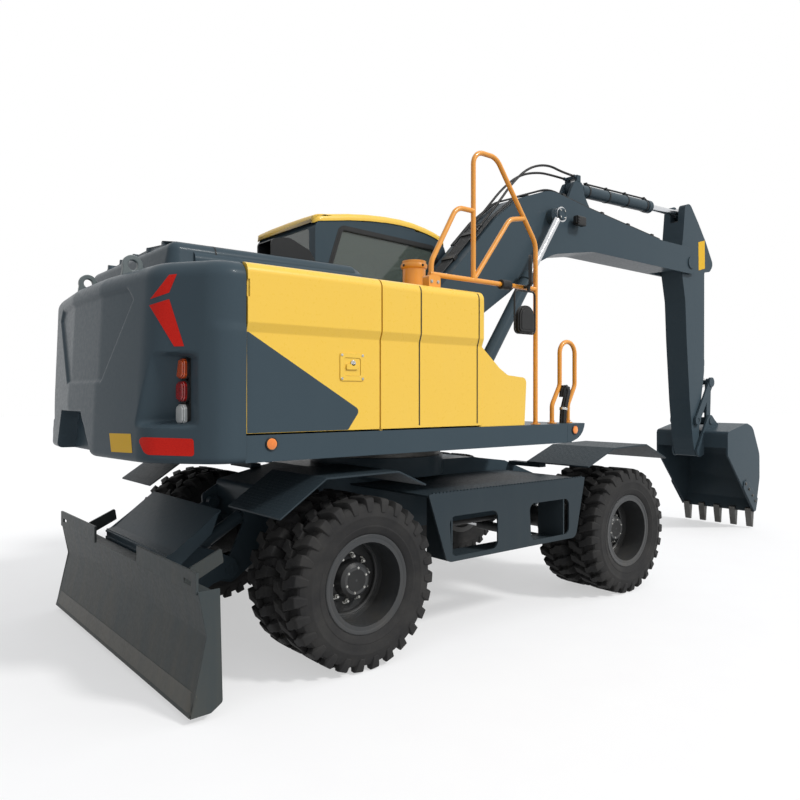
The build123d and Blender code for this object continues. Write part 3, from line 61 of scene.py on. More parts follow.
class Nodes:
    """Short calls for building the nodes of one material, or of a world."""

    def __init__(self, name, world=None):
        self.material = world or bpy.data.materials.new(name)
        self.material.use_nodes = True
        self.tree = self.material.node_tree
        self.shader = self.tree.nodes["Background" if world else "Principled BSDF"]
        kind = "Generated" if world else "Object"
        self.place = self.tree.nodes.new("ShaderNodeTexCoord").outputs[kind]

    def link(self, source, target):
        self.tree.links.new(source, target)

    def moved(self, stretch):
        """The place on the object, stretched along each axis."""
        mapping = self.tree.nodes.new("ShaderNodeMapping")
        mapping.inputs["Scale"].default_value = stretch
        self.link(self.place, mapping.inputs["Vector"])
        return mapping.outputs["Vector"]

    def noise(self, scale, detail=4.0, rough=0.55, stretch=None):
        node = self.tree.nodes.new("ShaderNodeTexNoise")
        node.inputs["Scale"].default_value = scale
        node.inputs["Detail"].default_value = detail
        node.inputs["Roughness"].default_value = rough
        source = self.place if stretch is None else self.moved(stretch)
        self.link(source, node.inputs["Vector"])
        return node.outputs["Fac"]

    def waves(self, scale, direction):
        """Even ripples across one axis."""
        node = self.tree.nodes.new("ShaderNodeTexWave")
        node.wave_type = "BANDS"
        node.bands_direction = direction
        node.inputs["Scale"].default_value = scale
        self.link(self.place, node.inputs["Vector"])
        return node.outputs["Fac"]

    def ramp(self, source, stops, hard=False):
        """A colour ramp through rows of (position, colour)."""
        node = self.tree.nodes.new("ShaderNodeValToRGB")
        if hard:
            node.color_ramp.interpolation = "CONSTANT"
        elements = node.color_ramp.elements
        while len(elements) < len(stops):
            elements.new(0.5)
        for element, (position, shade) in zip(elements, stops):
            element.position = position
            element.color = shade
        self.link(source, node.inputs["Fac"])
        return node.outputs["Color"]

    def grey(self, source, low, high, start=0.35, end=0.65):
        """A value between low and high, driven by a texture."""
        stops = [(start, (low, low, low, 1)), (end, (high, high, high, 1))]
        return self.ramp(source, stops)

    def mix(self, share, first, second, kind="MIX"):
        node = self.tree.nodes.new("ShaderNodeMix")
        node.data_type = "RGBA"
        node.blend_type = kind
        self.set_or_link(share, node.inputs[0])
        self.set_or_link(first, node.inputs[6])
        self.set_or_link(second, node.inputs[7])
        return node.outputs[2]

    def math(self, kind, first, second=0.0):
        node = self.tree.nodes.new("ShaderNodeMath")
        node.operation = kind
        self.set_or_link(first, node.inputs[0])
        self.set_or_link(second, node.inputs[1])
        return node.outputs[0]

    def set_or_link(self, value, socket):
        if isinstance(value, bpy.types.NodeSocket):
            self.link(value, socket)
        else:
            socket.default_value = value

    def bump(self, height, strength, distance, edge=0.0):
        """Relief from a texture, over edges that are softened by a small radius."""
        node = self.tree.nodes.new("ShaderNodeBump")
        node.inputs["Strength"].default_value = strength
        node.inputs["Distance"].default_value = distance
        self.link(height, node.inputs["Height"])
        if edge > 0:
            bevel = self.tree.nodes.new("ShaderNodeBevel")
            bevel.samples = 4
            bevel.inputs["Radius"].default_value = edge
            self.link(bevel.outputs["Normal"], node.inputs["Normal"])
        self.link(node.outputs["Normal"], self.shader.inputs["Normal"])

    def part_of(self, output, axis):
        """One axis of a vector."""
        split = self.tree.nodes.new("ShaderNodeSeparateXYZ")
        self.link(output, split.inputs["Vector"])
        return split.outputs[axis]

    def facing_up(self):
        """1 on faces that look up, 0 on the rest."""
        geometry = self.tree.nodes.new("ShaderNodeNewGeometry")
        return self.grey(self.part_of(geometry.outputs["Normal"], "Z"), 0.0, 1.0, 0.6, 0.9)

    def seen_directly(self):
        """1 for what the camera, metal or glass sees, 0 for the light that falls on surfaces."""
        path = self.tree.nodes.new("ShaderNodeLightPath")
        seen = self.math("MAXIMUM", path.outputs["Is Camera Ray"], path.outputs["Is Glossy Ray"])
        return self.math("MAXIMUM", seen, path.outputs["Is Transmission Ray"])

    def set(self, **values):
        names = {
            "base": "Base Color", "rough": "Roughness", "metal": "Metallic", "coat": "Coat Weight",
            "coat_rough": "Coat Roughness", "sheen": "Sheen Weight", "spec": "Specular IOR Level",
            "through": "Transmission Weight", "index": "IOR", "alpha": "Alpha",
        }
        for key, value in values.items():
            self.set_or_link(value, self.shader.inputs[names[key]])


def paint(name, body, dust, rough, coat, low=None, tread=False, spec=0.5):
    """Sprayed paint with faint orange peel, thin dust and a duller lower part."""
    made = Nodes(name)
    patches = made.noise(1.9, 6.0)
    fine = made.noise(46.0, 6.0)
    runs = made.noise(9.0, 5.0, 0.6, (1.0, 1.0, 0.16))
    shade = made.mix(made.grey(patches, 0.0, 0.14, 0.40, 0.72), body, dust)
    shade = made.mix(made.grey(fine, 0.0, 0.05, 0.46, 0.74), shade, dust)
    shade = made.mix(made.grey(runs, 0.0, 0.08, 0.48, 0.70), shade, dust)
    if low is not None:
        height = made.part_of(made.place, "Z")
        share = made.math("MULTIPLY", made.grey(height, 0.55, 0.0, 0.15, 1.15), made.grey(runs, 0.3, 1.0))
        shade = made.mix(share, shade, low)
    made.set(base=shade, rough=made.grey(fine, rough, rough + 0.10), coat=coat, coat_rough=0.08, spec=spec)
    if tread:
        first = made.waves(13.0, "DIAGONAL")
        second = made.waves(16.0, "X")
        ridges = made.grey(first, 0.0, 1.0, 0.55, 0.7)
        bars = made.math("MULTIPLY", ridges, made.grey(second, 0.0, 1.0, 0.4, 0.6))
        relief = made.math("MULTIPLY", bars, made.facing_up())
        made.bump(relief, 0.7, 0.003, 0.003)
    else:
        made.bump(made.noise(850.0, 2.0), 0.03, 0.0003, 0.004)
    return made.material


def rubber(name, body, dust, rough, grain=420.0, share=0.55):
    """Moulded rubber or plastic, dusty in patches."""
    made = Nodes(name)
    patches = made.noise(7.0, 6.0)
    fine = made.noise(80.0, 5.0)
    shade = made.mix(made.grey(patches, 0.0, share, 0.40, 0.75), body, dust)
    shade = made.mix(made.grey(fine, 0.0, share * 0.5, 0.48, 0.72), shade, dust)
    made.set(base=shade, rough=made.grey(fine, rough - 0.05, rough + 0.08), spec=0.3)
    made.bump(made.noise(grain, 3.0), 0.25, 0.0006)
    return made.material


def steel(name, body, stain, rough, metal=1.0, stretch=None, share=0.6):
    """Bare or thinly painted metal with stains and fine scratches."""
    made = Nodes(name)
    patches = made.noise(5.0, 7.0)
    scratches = made.noise(60.0, 4.0, 0.6, stretch)
    shade = made.mix(made.grey(patches, 0.0, share, 0.40, 0.70), body, stain)
    made.set(base=shade, metal=metal, rough=made.grey(scratches, rough, rough + 0.2))
    made.bump(scratches, 0.12, 0.0006, 0.002)
    return made.material


def film(name, body, shade, rough=0.3, weave=260.0):
    """Reflective film with a fine honeycomb grain."""
    made = Nodes(name)
    cells = made.tree.nodes.new("ShaderNodeTexVoronoi")
    cells.inputs["Scale"].default_value = weave
    made.link(made.place, cells.inputs["Vector"])
    grain = made.grey(cells.outputs["Distance"], 0.0, 0.5, 0.2, 0.6)
    made.set(base=made.mix(grain, body, shade), rough=rough, coat=0.0, spec=0.08)
    made.bump(cells.outputs["Distance"], 0.08, 0.0003)
    return made.material


def lens(name, body, shade, direction="Y"):
    """A ribbed plastic lamp glass."""
    made = Nodes(name)
    ribs = made.waves(42.0, direction)
    tint = made.mix(made.grey(ribs, 0.0, 0.6, 0.2, 0.8), body, shade)
    made.set(base=tint, rough=0.12, coat=0.7, coat_rough=0.05)
    made.bump(ribs, 0.35, 0.0015)
    return made.material


def fabric(name, thread, gap):
    """Woven seat cover."""
    made = Nodes(name)
    across = made.waves(95.0, "Y")
    along = made.waves(95.0, "Z")
    weave = made.math("MULTIPLY", across, along)
    patches = made.noise(9.0, 5.0)
    shade = made.mix(made.grey(weave, 0.0, 1.0, 0.1, 0.5), gap, thread)
    shade = made.mix(made.grey(patches, 0.0, 0.25), shade, gap)
    made.set(base=shade, rough=0.9, sheen=0.35)
    made.bump(weave, 0.4, 0.0008)
    return made.material


YELLOW = paint("yellow_paint", colour(231, 189, 70), colour(227, 192, 92), 0.26, 0.2, spec=0.3)
RAIL = paint("rail_paint", colour(226, 148, 40), colour(216, 156, 66), 0.30, 0.3)
DARK = paint("dark_paint", colour(60, 73, 81), colour(70, 82, 88), 0.28, 0.04, colour(62, 69, 72), spec=0.06)
DARK_TREAD = paint(
    "dark_tread", colour(46, 56, 62), colour(60, 68, 73), 0.42, 0.0, colour(60, 65, 66), True, 0.12)
BLADE = paint("blade_paint", colour(60, 68, 71), colour(94, 82, 64), 0.36, 0.0, colour(84, 82, 76), spec=0.08)
EDGE = paint("edge_paint", colour(78, 80, 77), colour(104, 100, 90), 0.34, 0.0, colour(96, 92, 84), spec=0.15)
BLACK = paint("black_paint", colour(26, 28, 30), colour(44, 45, 45), 0.42, 0.0, spec=0.25)
RIM = paint("rim_paint", colour(50, 53, 56), colour(66, 66, 64), 0.34, 0.1, colour(72, 68, 62), spec=0.3)
IRON = steel("axle_iron", colour(27, 29, 31), colour(44, 43, 41), 0.5, 0.1)
CHROME = steel("rod_chrome", colour(208, 210, 213), colour(190, 190, 188), 0.08, 1.0)
NUT = steel("zinc_steel", colour(196, 196, 192), colour(140, 138, 132), 0.25, 1.0)
WORN = steel("worn_steel", colour(92, 92, 90), colour(58, 54, 50), 0.38, 0.7)
TYRE = rubber("tyre_rubber", colour(32, 32, 33), colour(56, 55, 53), 0.78)
HOSE = rubber("hose_rubber", colour(24, 24, 25), colour(44, 43, 42), 0.5)
PLASTIC = rubber("black_plastic", colour(29, 30, 31), colour(48, 48, 47), 0.45, 700.0, 0.35)
SEAT = fabric("seat_fabric", colour(62, 64, 68), colour(34, 35, 38))
RED_FILM = film("red_film", colour(208, 42, 32), colour(176, 26, 22))
ORANGE = lens("orange_lens", colour(238, 140, 30), colour(210, 96, 16))
CLEAR = lens("clear_lens", colour(214, 216, 214), colour(150, 154, 156))
PLATE = film("blank_plate", colour(226, 180, 44), colour(210, 164, 42), 0.4, 900.0)
AMBER = lens("amber_lens", colour(222, 92, 30), colour(120, 30, 8))
RED_LENS = lens("red_lens", colour(176, 24, 20), colour(90, 8, 8))
EYE = paint("eye_paint", colour(84, 94, 96), colour(104, 110, 108), 0.4, 0.1)
# near-black paint: painted shade for the gaps between panels
GAP_SHADE = paint("shadow_gap", colour(16, 14, 12), colour(30, 26, 20), 0.7, 0.0)
MIRROR = steel("mirror_glass", colour(214, 218, 222), colour(204, 208, 212), 0.02, 1.0, None, 0.15)


def glass(name, tint):
    """Tinted safety glass with a little dust."""
    made = Nodes(name)
    dust = made.noise(6.0, 6.0)
    made.set(base=tint, rough=made.grey(dust, 0.02, 0.08), through=0.6, index=1.45, coat=0.3)
    return made.material


GLASS = glass("window_glass", colour(108, 120, 114))

FINISH = {
    "yellow_paint": YELLOW,
    "dark_paint": DARK,
    "black_paint": BLACK,
    "rim_paint": RIM,
    "axle_iron": IRON,
    "engine_iron": IRON,
    "rod_chrome": CHROME,
    "worn_steel": WORN,
    "tyre_rubber": TYRE,
    "black_plastic": PLASTIC,
    "window_glass": GLASS,
    "seat_fabric": SEAT,
}
OWN_FINISH = {
    "blade": BLADE,
    "side_steps": DARK_TREAD,
    "mudguards_front": DARK_TREAD,
    "mudguards_rear": DARK_TREAD,
}
for part in frame["record"]["subparts"]:
    node = part["node"]
    body_object = frame["nodes"][node]
    body_object.data.materials.clear()
    body_object.data.materials.append(OWN_FINISH.get(node, FINISH[part["material_slot"]]))

# Camera

# side of the square photograph and focal length, both in its pixels
PHOTO = 800
FOCAL = 715.4
camera_data = bpy.data.cameras.new("camera")
camera_data.sensor_width = 36.0
camera_data.lens = camera_data.sensor_width * FOCAL / PHOTO
camera = bpy.data.objects.new("camera", camera_data)
CAMERA = Vector((-5.122, -4.566, 1.599))
YAW = math.radians(50.72)
PITCH = math.radians(-0.237)
LOOK = Vector((
    math.cos(YAW) * math.cos(PITCH),
    math.sin(YAW) * math.cos(PITCH),
    math.sin(PITCH),
))
camera.location = CAMERA
camera.rotation_euler = LOOK.to_track_quat("-Z", "Y").to_euler()
bpy.context.scene.collection.objects.link(camera)
bpy.context.scene.camera = camera

# Helpers for pieces

SHIFT = -2.631


def at(x, y, z):
    """A place in millimetres from the rear axle as a place in the frame, in metres."""
    return Vector((x / 1000 + SHIFT, y / 1000, z / 1000))


class Shape:
    """Points and faces gathered for one mesh."""

    def __init__(self):
        self.points = []
        self.faces = []

    def add(self, points, faces):
        start = len(self.points)
        self.points.extend(Vector(point) for point in points)
        self.faces.extend(tuple(start + index for index in face) for face in faces)

    def prism(self, corners, depth):
        """A flat outline of corners, pushed along a depth vector and closed."""
        count = len(corners)
        depth = Vector(depth)
        points = [Vector(corner) for corner in corners]
        points += [point + depth for point in points]
        faces = [tuple(range(count)), tuple(range(2 * count - 1, count - 1, -1))]
        for index in range(count):
            after = (index + 1) % count
            faces.append((after, index, index + count, after + count))
        self.add(points, faces)

    def turned(self, centre, axis, rows, segments, closed=False):
        """Rows of (distance along the axis, radius), turned about an axis through a centre."""
        axis = Vector(axis).normalized()
        side = axis.orthogonal().normalized()
        up = axis.cross(side)
        points = []
        for index in range(segments):
            angle = 2 * math.pi * index / segments
            out = side * math.cos(angle) + up * math.sin(angle)
            for distance, radius in rows:
                points.append(Vector(centre) + axis * distance + out * radius)
        count = len(rows)
        last = count if closed else count - 1
        faces = []
        for index in range(segments):
            here = index * count
            there = ((index + 1) % segments) * count
            for row in range(last):
                after = (row + 1) % count
                faces.append((here + row, there + row, there + after, here + after))
        self.add(points, faces)

    def bolt(self, place, normal, radius=0.012, height=0.009):
        """A hexagon head on a round washer."""
        place = Vector(place)
        normal = Vector(normal).normalized()
        self.turned(place, normal, [(0, radius * 1.3), (0.002, radius * 1.3), (0.002, radius)], 16)
        rows = [
            (0.001, radius), (height * 0.8, radius), (height, radius * 0.86), (height, 0.0001),
        ]
        self.turned(place, normal, rows, 6)


def grid_faces(rows, columns, closed=False):
    """Faces between rows of points, each row closed into a ring or left open."""
    faces = []
    for row in range(rows - 1):
        here = row * columns
        for step in range(columns if closed else columns - 1):
            after = (step + 1) % columns
            faces.append((here + step, here + after, here + columns + after, here + columns + step))
    return faces


def circle(count, radius, start=0.0):
    """Evenly spaced (u, v) points round a circle."""
    angles = [start + 2 * math.pi * step / count for step in range(count)]
    return [(radius * math.cos(angle), radius * math.sin(angle)) for angle in angles]


def corner_arc(before, here, after, radius, steps):
    """Points round the arc that rounds off a corner between two others."""
    first = (before - here).normalized()
    second = (after - here).normalized()
    half = first.angle(second) / 2
    centre = here + (first + second).normalized() * (radius / math.sin(half))
    reach = radius / math.tan(half)
    start = here + first * reach - centre
    end = here + second * reach - centre
    total = start.angle(end)
    line = []
    for step in range(steps + 1):
        share = step / steps
        arm = start * math.sin((1 - share) * total) + end * math.sin(share * total)
        line.append(centre + arm / math.sin(total))
    return line


def tube_points(line, radius, segments=10):
    """A tube through points: its points and faces, with flat ends."""
    line = [Vector(point) for point in line]
    points = []
    side = None
    for index, place in enumerate(line):
        before = line[max(index - 1, 0)]
        after = line[min(index + 1, len(line) - 1)]
        along = (after - before).normalized()
        if side is None:
            side = along.orthogonal().normalized()
        side = (side - along * side.dot(along)).normalized()
        up = along.cross(side)
        for step in range(segments):
            angle = 2 * math.pi * step / segments
            points.append(place + (side * math.cos(angle) + up * math.sin(angle)) * radius)
    faces = grid_faces(len(line), segments, True)
    faces.append(tuple(reversed(range(segments))))
    faces.append(tuple(range(len(points) - segments, len(points))))
    return points, faces


def rounded(rows, steps=5):
    """Corners of a flat outline, with rows of (u, v, radius) rounded off."""
    count = len(rows)
    done = []
    for index, (u, v, radius) in enumerate(rows):
        here = Vector((u, v))
        before = Vector(rows[index - 1][:2])
        after = Vector(rows[(index + 1) % count][:2])
        if radius == 0:
            done.append((u, v))
            continue
        first = (before - here).normalized()
        second = (after - here).normalized()
        half = first.angle(second) / 2
        reach = radius / math.tan(half)
        centre = here + (first + second).normalized() * (radius / math.sin(half))
        start = here + first * reach - centre
        end = here + second * reach - centre
        turn = start.angle_signed(end)
        for step in range(steps + 1):
            angle = -turn * step / steps
            arm = Vector((
                start.x * math.cos(angle) - start.y * math.sin(angle),
                start.x * math.sin(angle) + start.y * math.cos(angle),
            ))
            done.append(tuple(centre + arm))
    return done


def across_x(x, rows, inset=0, steps=5):
    """Places round a rounded outline of (y, z, radius) rows at one x, set in by a distance."""
    return [at(x, y, z) for y, z in rounded(grown(rows, -inset) if inset else rows, steps)]


def across_y(y, rows, inset=0, steps=5):
    """Places round a rounded outline of (x, z, radius) rows at one y, set in by a distance."""
    return [at(x, y, z) for x, z in rounded(grown(rows, -inset) if inset else rows, steps)]


def rectangle(u_low, u_high, v_low, v_high, radius):
    """Rows of a rectangle with rounded corners."""
    corners = ((u_low, v_low), (u_high, v_low), (u_high, v_high), (u_low, v_high))
    return [(u, v, radius) for u, v in corners]


def piece(name, shape, body, material, smooth=False, bevel=0.0, turn=30):
    """An object from a shape, with its material, that rides on a body."""
    mesh = bpy.data.meshes.new(name)
    mesh.from_pydata([tuple(point) for point in shape.points], [], shape.faces)
    mesh.materials.append(material)
    check = bmesh.new()
    check.from_mesh(mesh)
    bmesh.ops.recalc_face_normals(check, faces=check.faces)
    check.to_mesh(mesh)
    check.free()
    item = bpy.data.objects.new(name, mesh)
    bpy.context.scene.collection.objects.link(item)
    for polygon in mesh.polygons:
        polygon.use_smooth = smooth
    if smooth:
        mesh.set_sharp_from_angle(angle=math.radians(turn))
    if bevel > 0:
        rounding = item.modifiers.new("rounding", "BEVEL")
        rounding.width = bevel
        rounding.segments = 2
        rounding.limit_method = "ANGLE"
        rounding.angle_limit = math.radians(35)
    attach(item, body)
    return item


# Finding places on the surfaces

RIGHT = LOOK.cross(Vector((0, 0, 1))).normalized()
UP = RIGHT.cross(LOOK)
TREES = {}


def surface(node):
    """A search tree of the faces of a CAD node, or of a piece that replaces one."""
    if node not in TREES:
        item = frame["nodes"].get(node) or bpy.data.objects[node]
        TREES[node] = BVHTree.FromObject(item, bpy.context.evaluated_depsgraph_get())
    return TREES[node]


def pixel_ray(u, v):
    """The direction from the camera through a pixel of the photograph."""
    return (LOOK + RIGHT * ((u - PHOTO / 2) / FOCAL) + UP * ((PHOTO / 2 - v) / FOCAL)).normalized()


def beside(node, x, z, side=-1):
    """The place and outward normal on a node's flank, at x and z in millimetres."""
    start = at(x, side * 3000, z)
    hit, normal, _, _ = surface(node).ray_cast(start, Vector((0, -side, 0)))
    return (hit, normal if normal.y * side > 0 else -normal)


def loop(shape, outer, inner, depth):
    """A closed frame between an outer and an inner outline with as many corners, pushed along depth."""
    count = len(outer)
    depth = Vector(depth)
    points = [Vector(place) for place in outer] + [Vector(place) for place in inner]
    points += [place + depth for place in points]
    faces = []
    for index in range(count):
        after = (index + 1) % count
        faces.append((index, after, count + after, count + index))
        faces.append((2 * count + index, 3 * count + index, 3 * count + after, 2 * count + after))
        faces.append((index, 2 * count + index, 2 * count + after, after))
        faces.append((count + index, count + after, 3 * count + after, 3 * count + index))
    shape.add(points, faces)


def grown(rows, distance):
    """Rows of (u, v, radius) moved outward by a distance, or inward if it is negative."""
    count = len(rows)
    area = 0
    for index in range(count):
        u, v = rows[index][:2]
        next_u, next_v = rows[(index + 1) % count][:2]
        area += u * next_v - next_u * v
    sign = 1 if area > 0 else -1
    done = []
    for index in range(count):
        before = Vector(rows[index - 1][:2])
        here = Vector(rows[index][:2])
        after = Vector(rows[(index + 1) % count][:2])
        first = (here - before).normalized()
        second = (after - here).normalized()
        first_out = Vector((first.y, -first.x)) * sign
        second_out = Vector((second.y, -second.x)) * sign
        half = (first_out + second_out).normalized()
        reach = distance / max(0.3, half.dot(first_out))
        place = here + half * reach
        done.append((place.x, place.y, max(0, rows[index][2] + distance)))
    return done

# Wheels

LUGS = 27
# y, radius at the top, y and radius of its foot, half angle at the top and foot, turn of the middle
LUG_STATIONS = [
    (-8, 508, -8, 470, 0.046, 0.066, 0.072),
    (26, 508, 26, 470, 0.050, 0.070, 0.052),
    (50, 508, 50, 470, 0.050, 0.070, 0.020),
    (64, 508, 64, 470, 0.062, 0.078, 0.000),
    (98, 507, 98, 468, 0.060, 0.078, -0.012),
    (113, 501, 103, 466, 0.058, 0.076, -0.016),
    (122, 480, 108, 456, 0.052, 0.070, -0.016),
    (127.5, 450, 114, 436, 0.044, 0.060, -0.012),
    (129.5, 424, 118, 418, 0.034, 0.046, -0.006),
]
# y and radius across half a tyre's outside, from the middle to the bead
CARCASS = [
    (0, 474), (60, 474), (100, 472), (112, 464), (119, 448), (124, 428), (126.5, 404), (128, 400),
    (128, 394), (126.5, 390), (126, 372), (122, 344), (124, 338), (121, 330), (115, 312), (107, 296),
    (104, 293), (96, 291),
]


def tyre(shape, centre, y_middle):
    """One tyre: a turned carcass and two rows of hooked lugs, staggered by half a pitch."""
    rows = [(-y / 1000, radius / 1000) for y, radius in reversed(CARCASS)]
    rows += [(y / 1000, radius / 1000) for y, radius in CARCASS[1:]]
    middle = at(centre[0], y_middle, centre[1])
    shape.turned(middle, (0, 1, 0), rows, LUGS * 4)
    pitch = 2 * math.pi / LUGS
    count = len(LUG_STATIONS)
    for side in (-1, 1):
        for index in range(LUGS):
            base = pitch * (index + (0.25 if side > 0 else 0.75))
            points = []
            for y, radius, foot_y, foot_radius, half, foot_half, turn in LUG_STATIONS:
                corners = (
                    (foot_y, foot_radius, -foot_half), (y, radius, -half),
                    (y, radius, half), (foot_y, foot_radius, foot_half),
                )
                for place_y, place_radius, offset in corners:
                    angle = base + turn + offset
                    points.append(middle + Vector((
                        place_radius / 1000 * math.cos(angle),
                        side * place_y / 1000,
                        place_radius / 1000 * math.sin(angle),
                    )))
            faces = []
            for station in range(count - 1):
                here = station * 4
                for corner in range(3):
                    faces.append((here + corner, here + corner + 1, here + corner + 5, here + corner + 4))
            faces.append((3, 2, 1, 0))
            last = (count - 1) * 4
            faces.append((last, last + 1, last + 2, last + 3))
            shape.add(points, faces)


# node suffix, axle x, side
WHEELBASE = 2650
WHEELS = [
    ("rear_left", 0, 1),
    ("rear_right", 0, -1),
    ("front_left", WHEELBASE, 1),
    ("front_right", WHEELBASE, -1),
]
AXLE_Z = 508
# distance of the outer and the inner tyre's middle from the machine's middle
TYRE_MIDDLES = (1118, 808)
for suffix, axle_x, side in WHEELS:
    body = "wheel_" + suffix
    rubber_shape = Shape()
    for y in TYRE_MIDDLES:
        tyre(rubber_shape, (axle_x, AXLE_Z), side * y)
    tyres = piece("tyres_" + suffix + "_lugged", rubber_shape, body, TYRE, True, 0.0025, 24)
    tyres.modifiers["rounding"].segments = 1
    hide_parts("tyres_" + suffix)
    out = Vector((0, side, 0))
    hub = at(axle_x, 0, AXLE_Z)
    rings = Shape()
    ring_rows = [
        (0.985, 0.246), (0.985, 0.222), (0.996, 0.214), (1.012, 0.214), (1.020, 0.222), (1.020, 0.232),
        (1.034, 0.240), (1.052, 0.246),
    ]
    rings.turned(hub, out, ring_rows, 96)
    rings.turned(hub, out, [(0.987, 0.150), (0.992, 0.200), (0.987, 0.224)], 96)
    lip_rows = [
        (1.224, 0.291), (1.2275, 0.288), (1.2275, 0.272), (1.222, 0.262), (1.200, 0.247), (1.180, 0.244),
    ]
    rings.turned(hub, out, lip_rows, 96)
    piece("rim_rings_" + suffix, rings, body, RIM, True)
    nuts = Shape()
    for x, z in circle(10, 0.134, math.radians(8)):
        place = hub + out * 1.024 + Vector((x, 0, z))
        nuts.bolt(place, out, 0.0165, 0.022)
        nuts.turned(place, out, [(0.018, 0.0095), (0.034, 0.0095), (0.036, 0.007), (0.036, 0.0001)], 12)
    for x, z in circle(6, 0.074, math.radians(20)):
        nuts.bolt(hub + out * 1.1125 + Vector((x, 0, z)), out, 0.006, 0.005)
    piece("wheel_nuts_" + suffix, nuts, body, NUT, False)
    cap = Shape()
    cap.turned(hub, out, [(1.1128, 0.0001), (1.1145, 0.060), (1.1145, 0.064), (1.1128, 0.066)], 48)
    piece("hub_cap_" + suffix, cap, body, PLASTIC, True)

# Counterweight, one smooth casting with a field across its rear and a pocket at each corner

CW_FRONT = -782
# x, y and corner radius of the right half of the plan, at the foot and at the top
CW_FOOT_PLAN = [(CW_FRONT, -1222, 0), (-940, -1222, 190), (-1200, -905, 290), (-1264, -280, 600)]
CW_TOP_PLAN = [(CW_FRONT, -1238, 0), (-925, -1238, 190), (-1150, -930, 300), (-1215, -280, 600)]
CW_FOOT_Z = 1258
CW_TOP_Z = 2300
CW_FOOT_ROUND = 34
CW_TOP_ROUND = 92


def smooth(share):
    """A soft step from 0 to 1."""
    share = min(1, max(0, share))
    return share * share * (3 - 2 * share)


def plan_points(rows, count):
    """Evenly spaced points round the right half of a plan and its mirror image."""
    corners = rows + [(x, -y, radius) for x, y, radius in reversed(rows)]
    line = [Vector(corners[0][:2])]
    for index in range(1, len(corners) - 1):
        before, here, after = [Vector(row[:2]) for row in corners[index - 1:index + 2]]
        line += corner_arc(before, here, after, corners[index][2], 24)
    line.append(Vector(corners[-1][:2]))
    lengths = [0]
    for before, after in zip(line, line[1:]):
        lengths.append(lengths[-1] + (after - before).length)
    done = []
    place = 0
    for index in range(count):
        goal = lengths[-1] * index / (count - 1)
        while place < len(line) - 2 and lengths[place + 1] < goal:
            place += 1
        span = max(1e-9, lengths[place + 1] - lengths[place])
        done.append(line[place].lerp(line[place + 1], min(1, (goal - lengths[place]) / span)))
    return done


CW_COLUMNS = 361
foot_plan = plan_points(CW_FOOT_PLAN, CW_COLUMNS)
top_plan = plan_points(CW_TOP_PLAN, CW_COLUMNS)


FIELD_HALF = 712
FIELD_CORNER_Z = 2120
FIELD_TOP_Z = 2182
FIELD_LOW_Z = 1690
FIELD_DEPTH = 15
POCKET_INNER = 800
POCKET_TOP_Z = 1820
POCKET_LOW_Z = 1448
LAMP_WALL = -1000
NOTCH_LEFT = -250
NOTCH_RIGHT = 620
NOTCH_TOP_Z = 1506
NOTCH_WALL = -1120


def within(distance, width, offset=0.5):
    """How far inside a soft edge a place is, from 0 to 1."""
    return smooth(distance / width + offset)


def casting_depth(y, z, x):
    """x of the casting's surface once the field, the pockets and the lower notch are let in."""
    out = abs(y)
    # the field narrows both ways from its corners, and its edges fall off softly
    side = FIELD_HALF - (0.86 * (FIELD_CORNER_Z - z) if z < FIELD_CORNER_Z else 1.1 * (z - FIELD_CORNER_Z))
    x = x + FIELD_DEPTH * within(side - out, 26) * within(FIELD_TOP_Z - z, 26) * within(z - FIELD_LOW_Z, 26)
    # each pocket slopes in from its inner edge to the wall that carries the lamps
    inner = POCKET_INNER + (z - 1450) * 0.33
    pocket = within(out - inner, 120, 0) * within(POCKET_TOP_Z - z, 30, 0.3)
    pocket = pocket * within(z - POCKET_LOW_Z, 42, 0.2)
    x = x + (max(x, LAMP_WALL) - x) * pocket
    left = NOTCH_LEFT + (z - CW_FOOT_Z)
    right = NOTCH_RIGHT - (z - CW_FOOT_Z) * 0.45
    notch = within(y - left, 16) * within(right - y, 16) * within(NOTCH_TOP_Z - z, 16)
    return x + (max(x, NOTCH_WALL) - x) * notch


# Where the side panels' swell carries on over the casting's flank, and how far it stands out
FLANK_X = -985
FLANK_Z = 1925
FLANK_SWELL = 9
casting_rows = []
for step in range(7):
    angle = math.pi / 2 * step / 6
    casting_rows.append((
        CW_FOOT_Z + CW_FOOT_ROUND * (1 - math.cos(angle)),
        CW_FOOT_ROUND * (1 - math.sin(angle)),
    ))
z_steps = 104
z_low = CW_FOOT_Z + CW_FOOT_ROUND
z_high = CW_TOP_Z - CW_TOP_ROUND
for step in range(1, z_steps):
    casting_rows.append((z_low + (z_high - z_low) * step / z_steps, 0))
for step in range(13):
    angle = math.pi / 2 * step / 12
    casting_rows.append((
        CW_TOP_Z - CW_TOP_ROUND * (1 - math.sin(angle)),
        CW_TOP_ROUND * (1 - math.cos(angle)),
    ))
casting = Shape()
casting_points = []
for z, inset in casting_rows:
    share = (z - CW_FOOT_Z) / (CW_TOP_Z - CW_FOOT_Z)
    ring = [low.lerp(high, share) for low, high in zip(foot_plan, top_plan)]
    # the flank carries the side panels' swell on toward the rear
    for index, place in enumerate(ring):
        before = ring[max(index - 1, 0)]
        after = ring[min(index + 1, CW_COLUMNS - 1)]
        along = (after - before).normalized()
        inward = Vector((-along.y, along.x))
        if inward.dot(Vector((-700, 0)) - place) < 0:
            inward = -inward
        bare = place + inward * inset
        flank = smooth((place.x - FLANK_X) / 70)
        lift = math.copysign(FLANK_SWELL * flank * (smooth((z - FLANK_Z) / 70) - 1), place.y)
        x = casting_depth(place.y, z, bare.x) if place.x < -830 else bare.x
        casting_points.append(at(x, bare.y + lift, z))
faces = grid_faces(len(casting_rows), CW_COLUMNS)
last = (len(casting_rows) - 1) * CW_COLUMNS
faces.append(tuple(range(CW_COLUMNS)))
faces.append(tuple(range(last, last + CW_COLUMNS)))
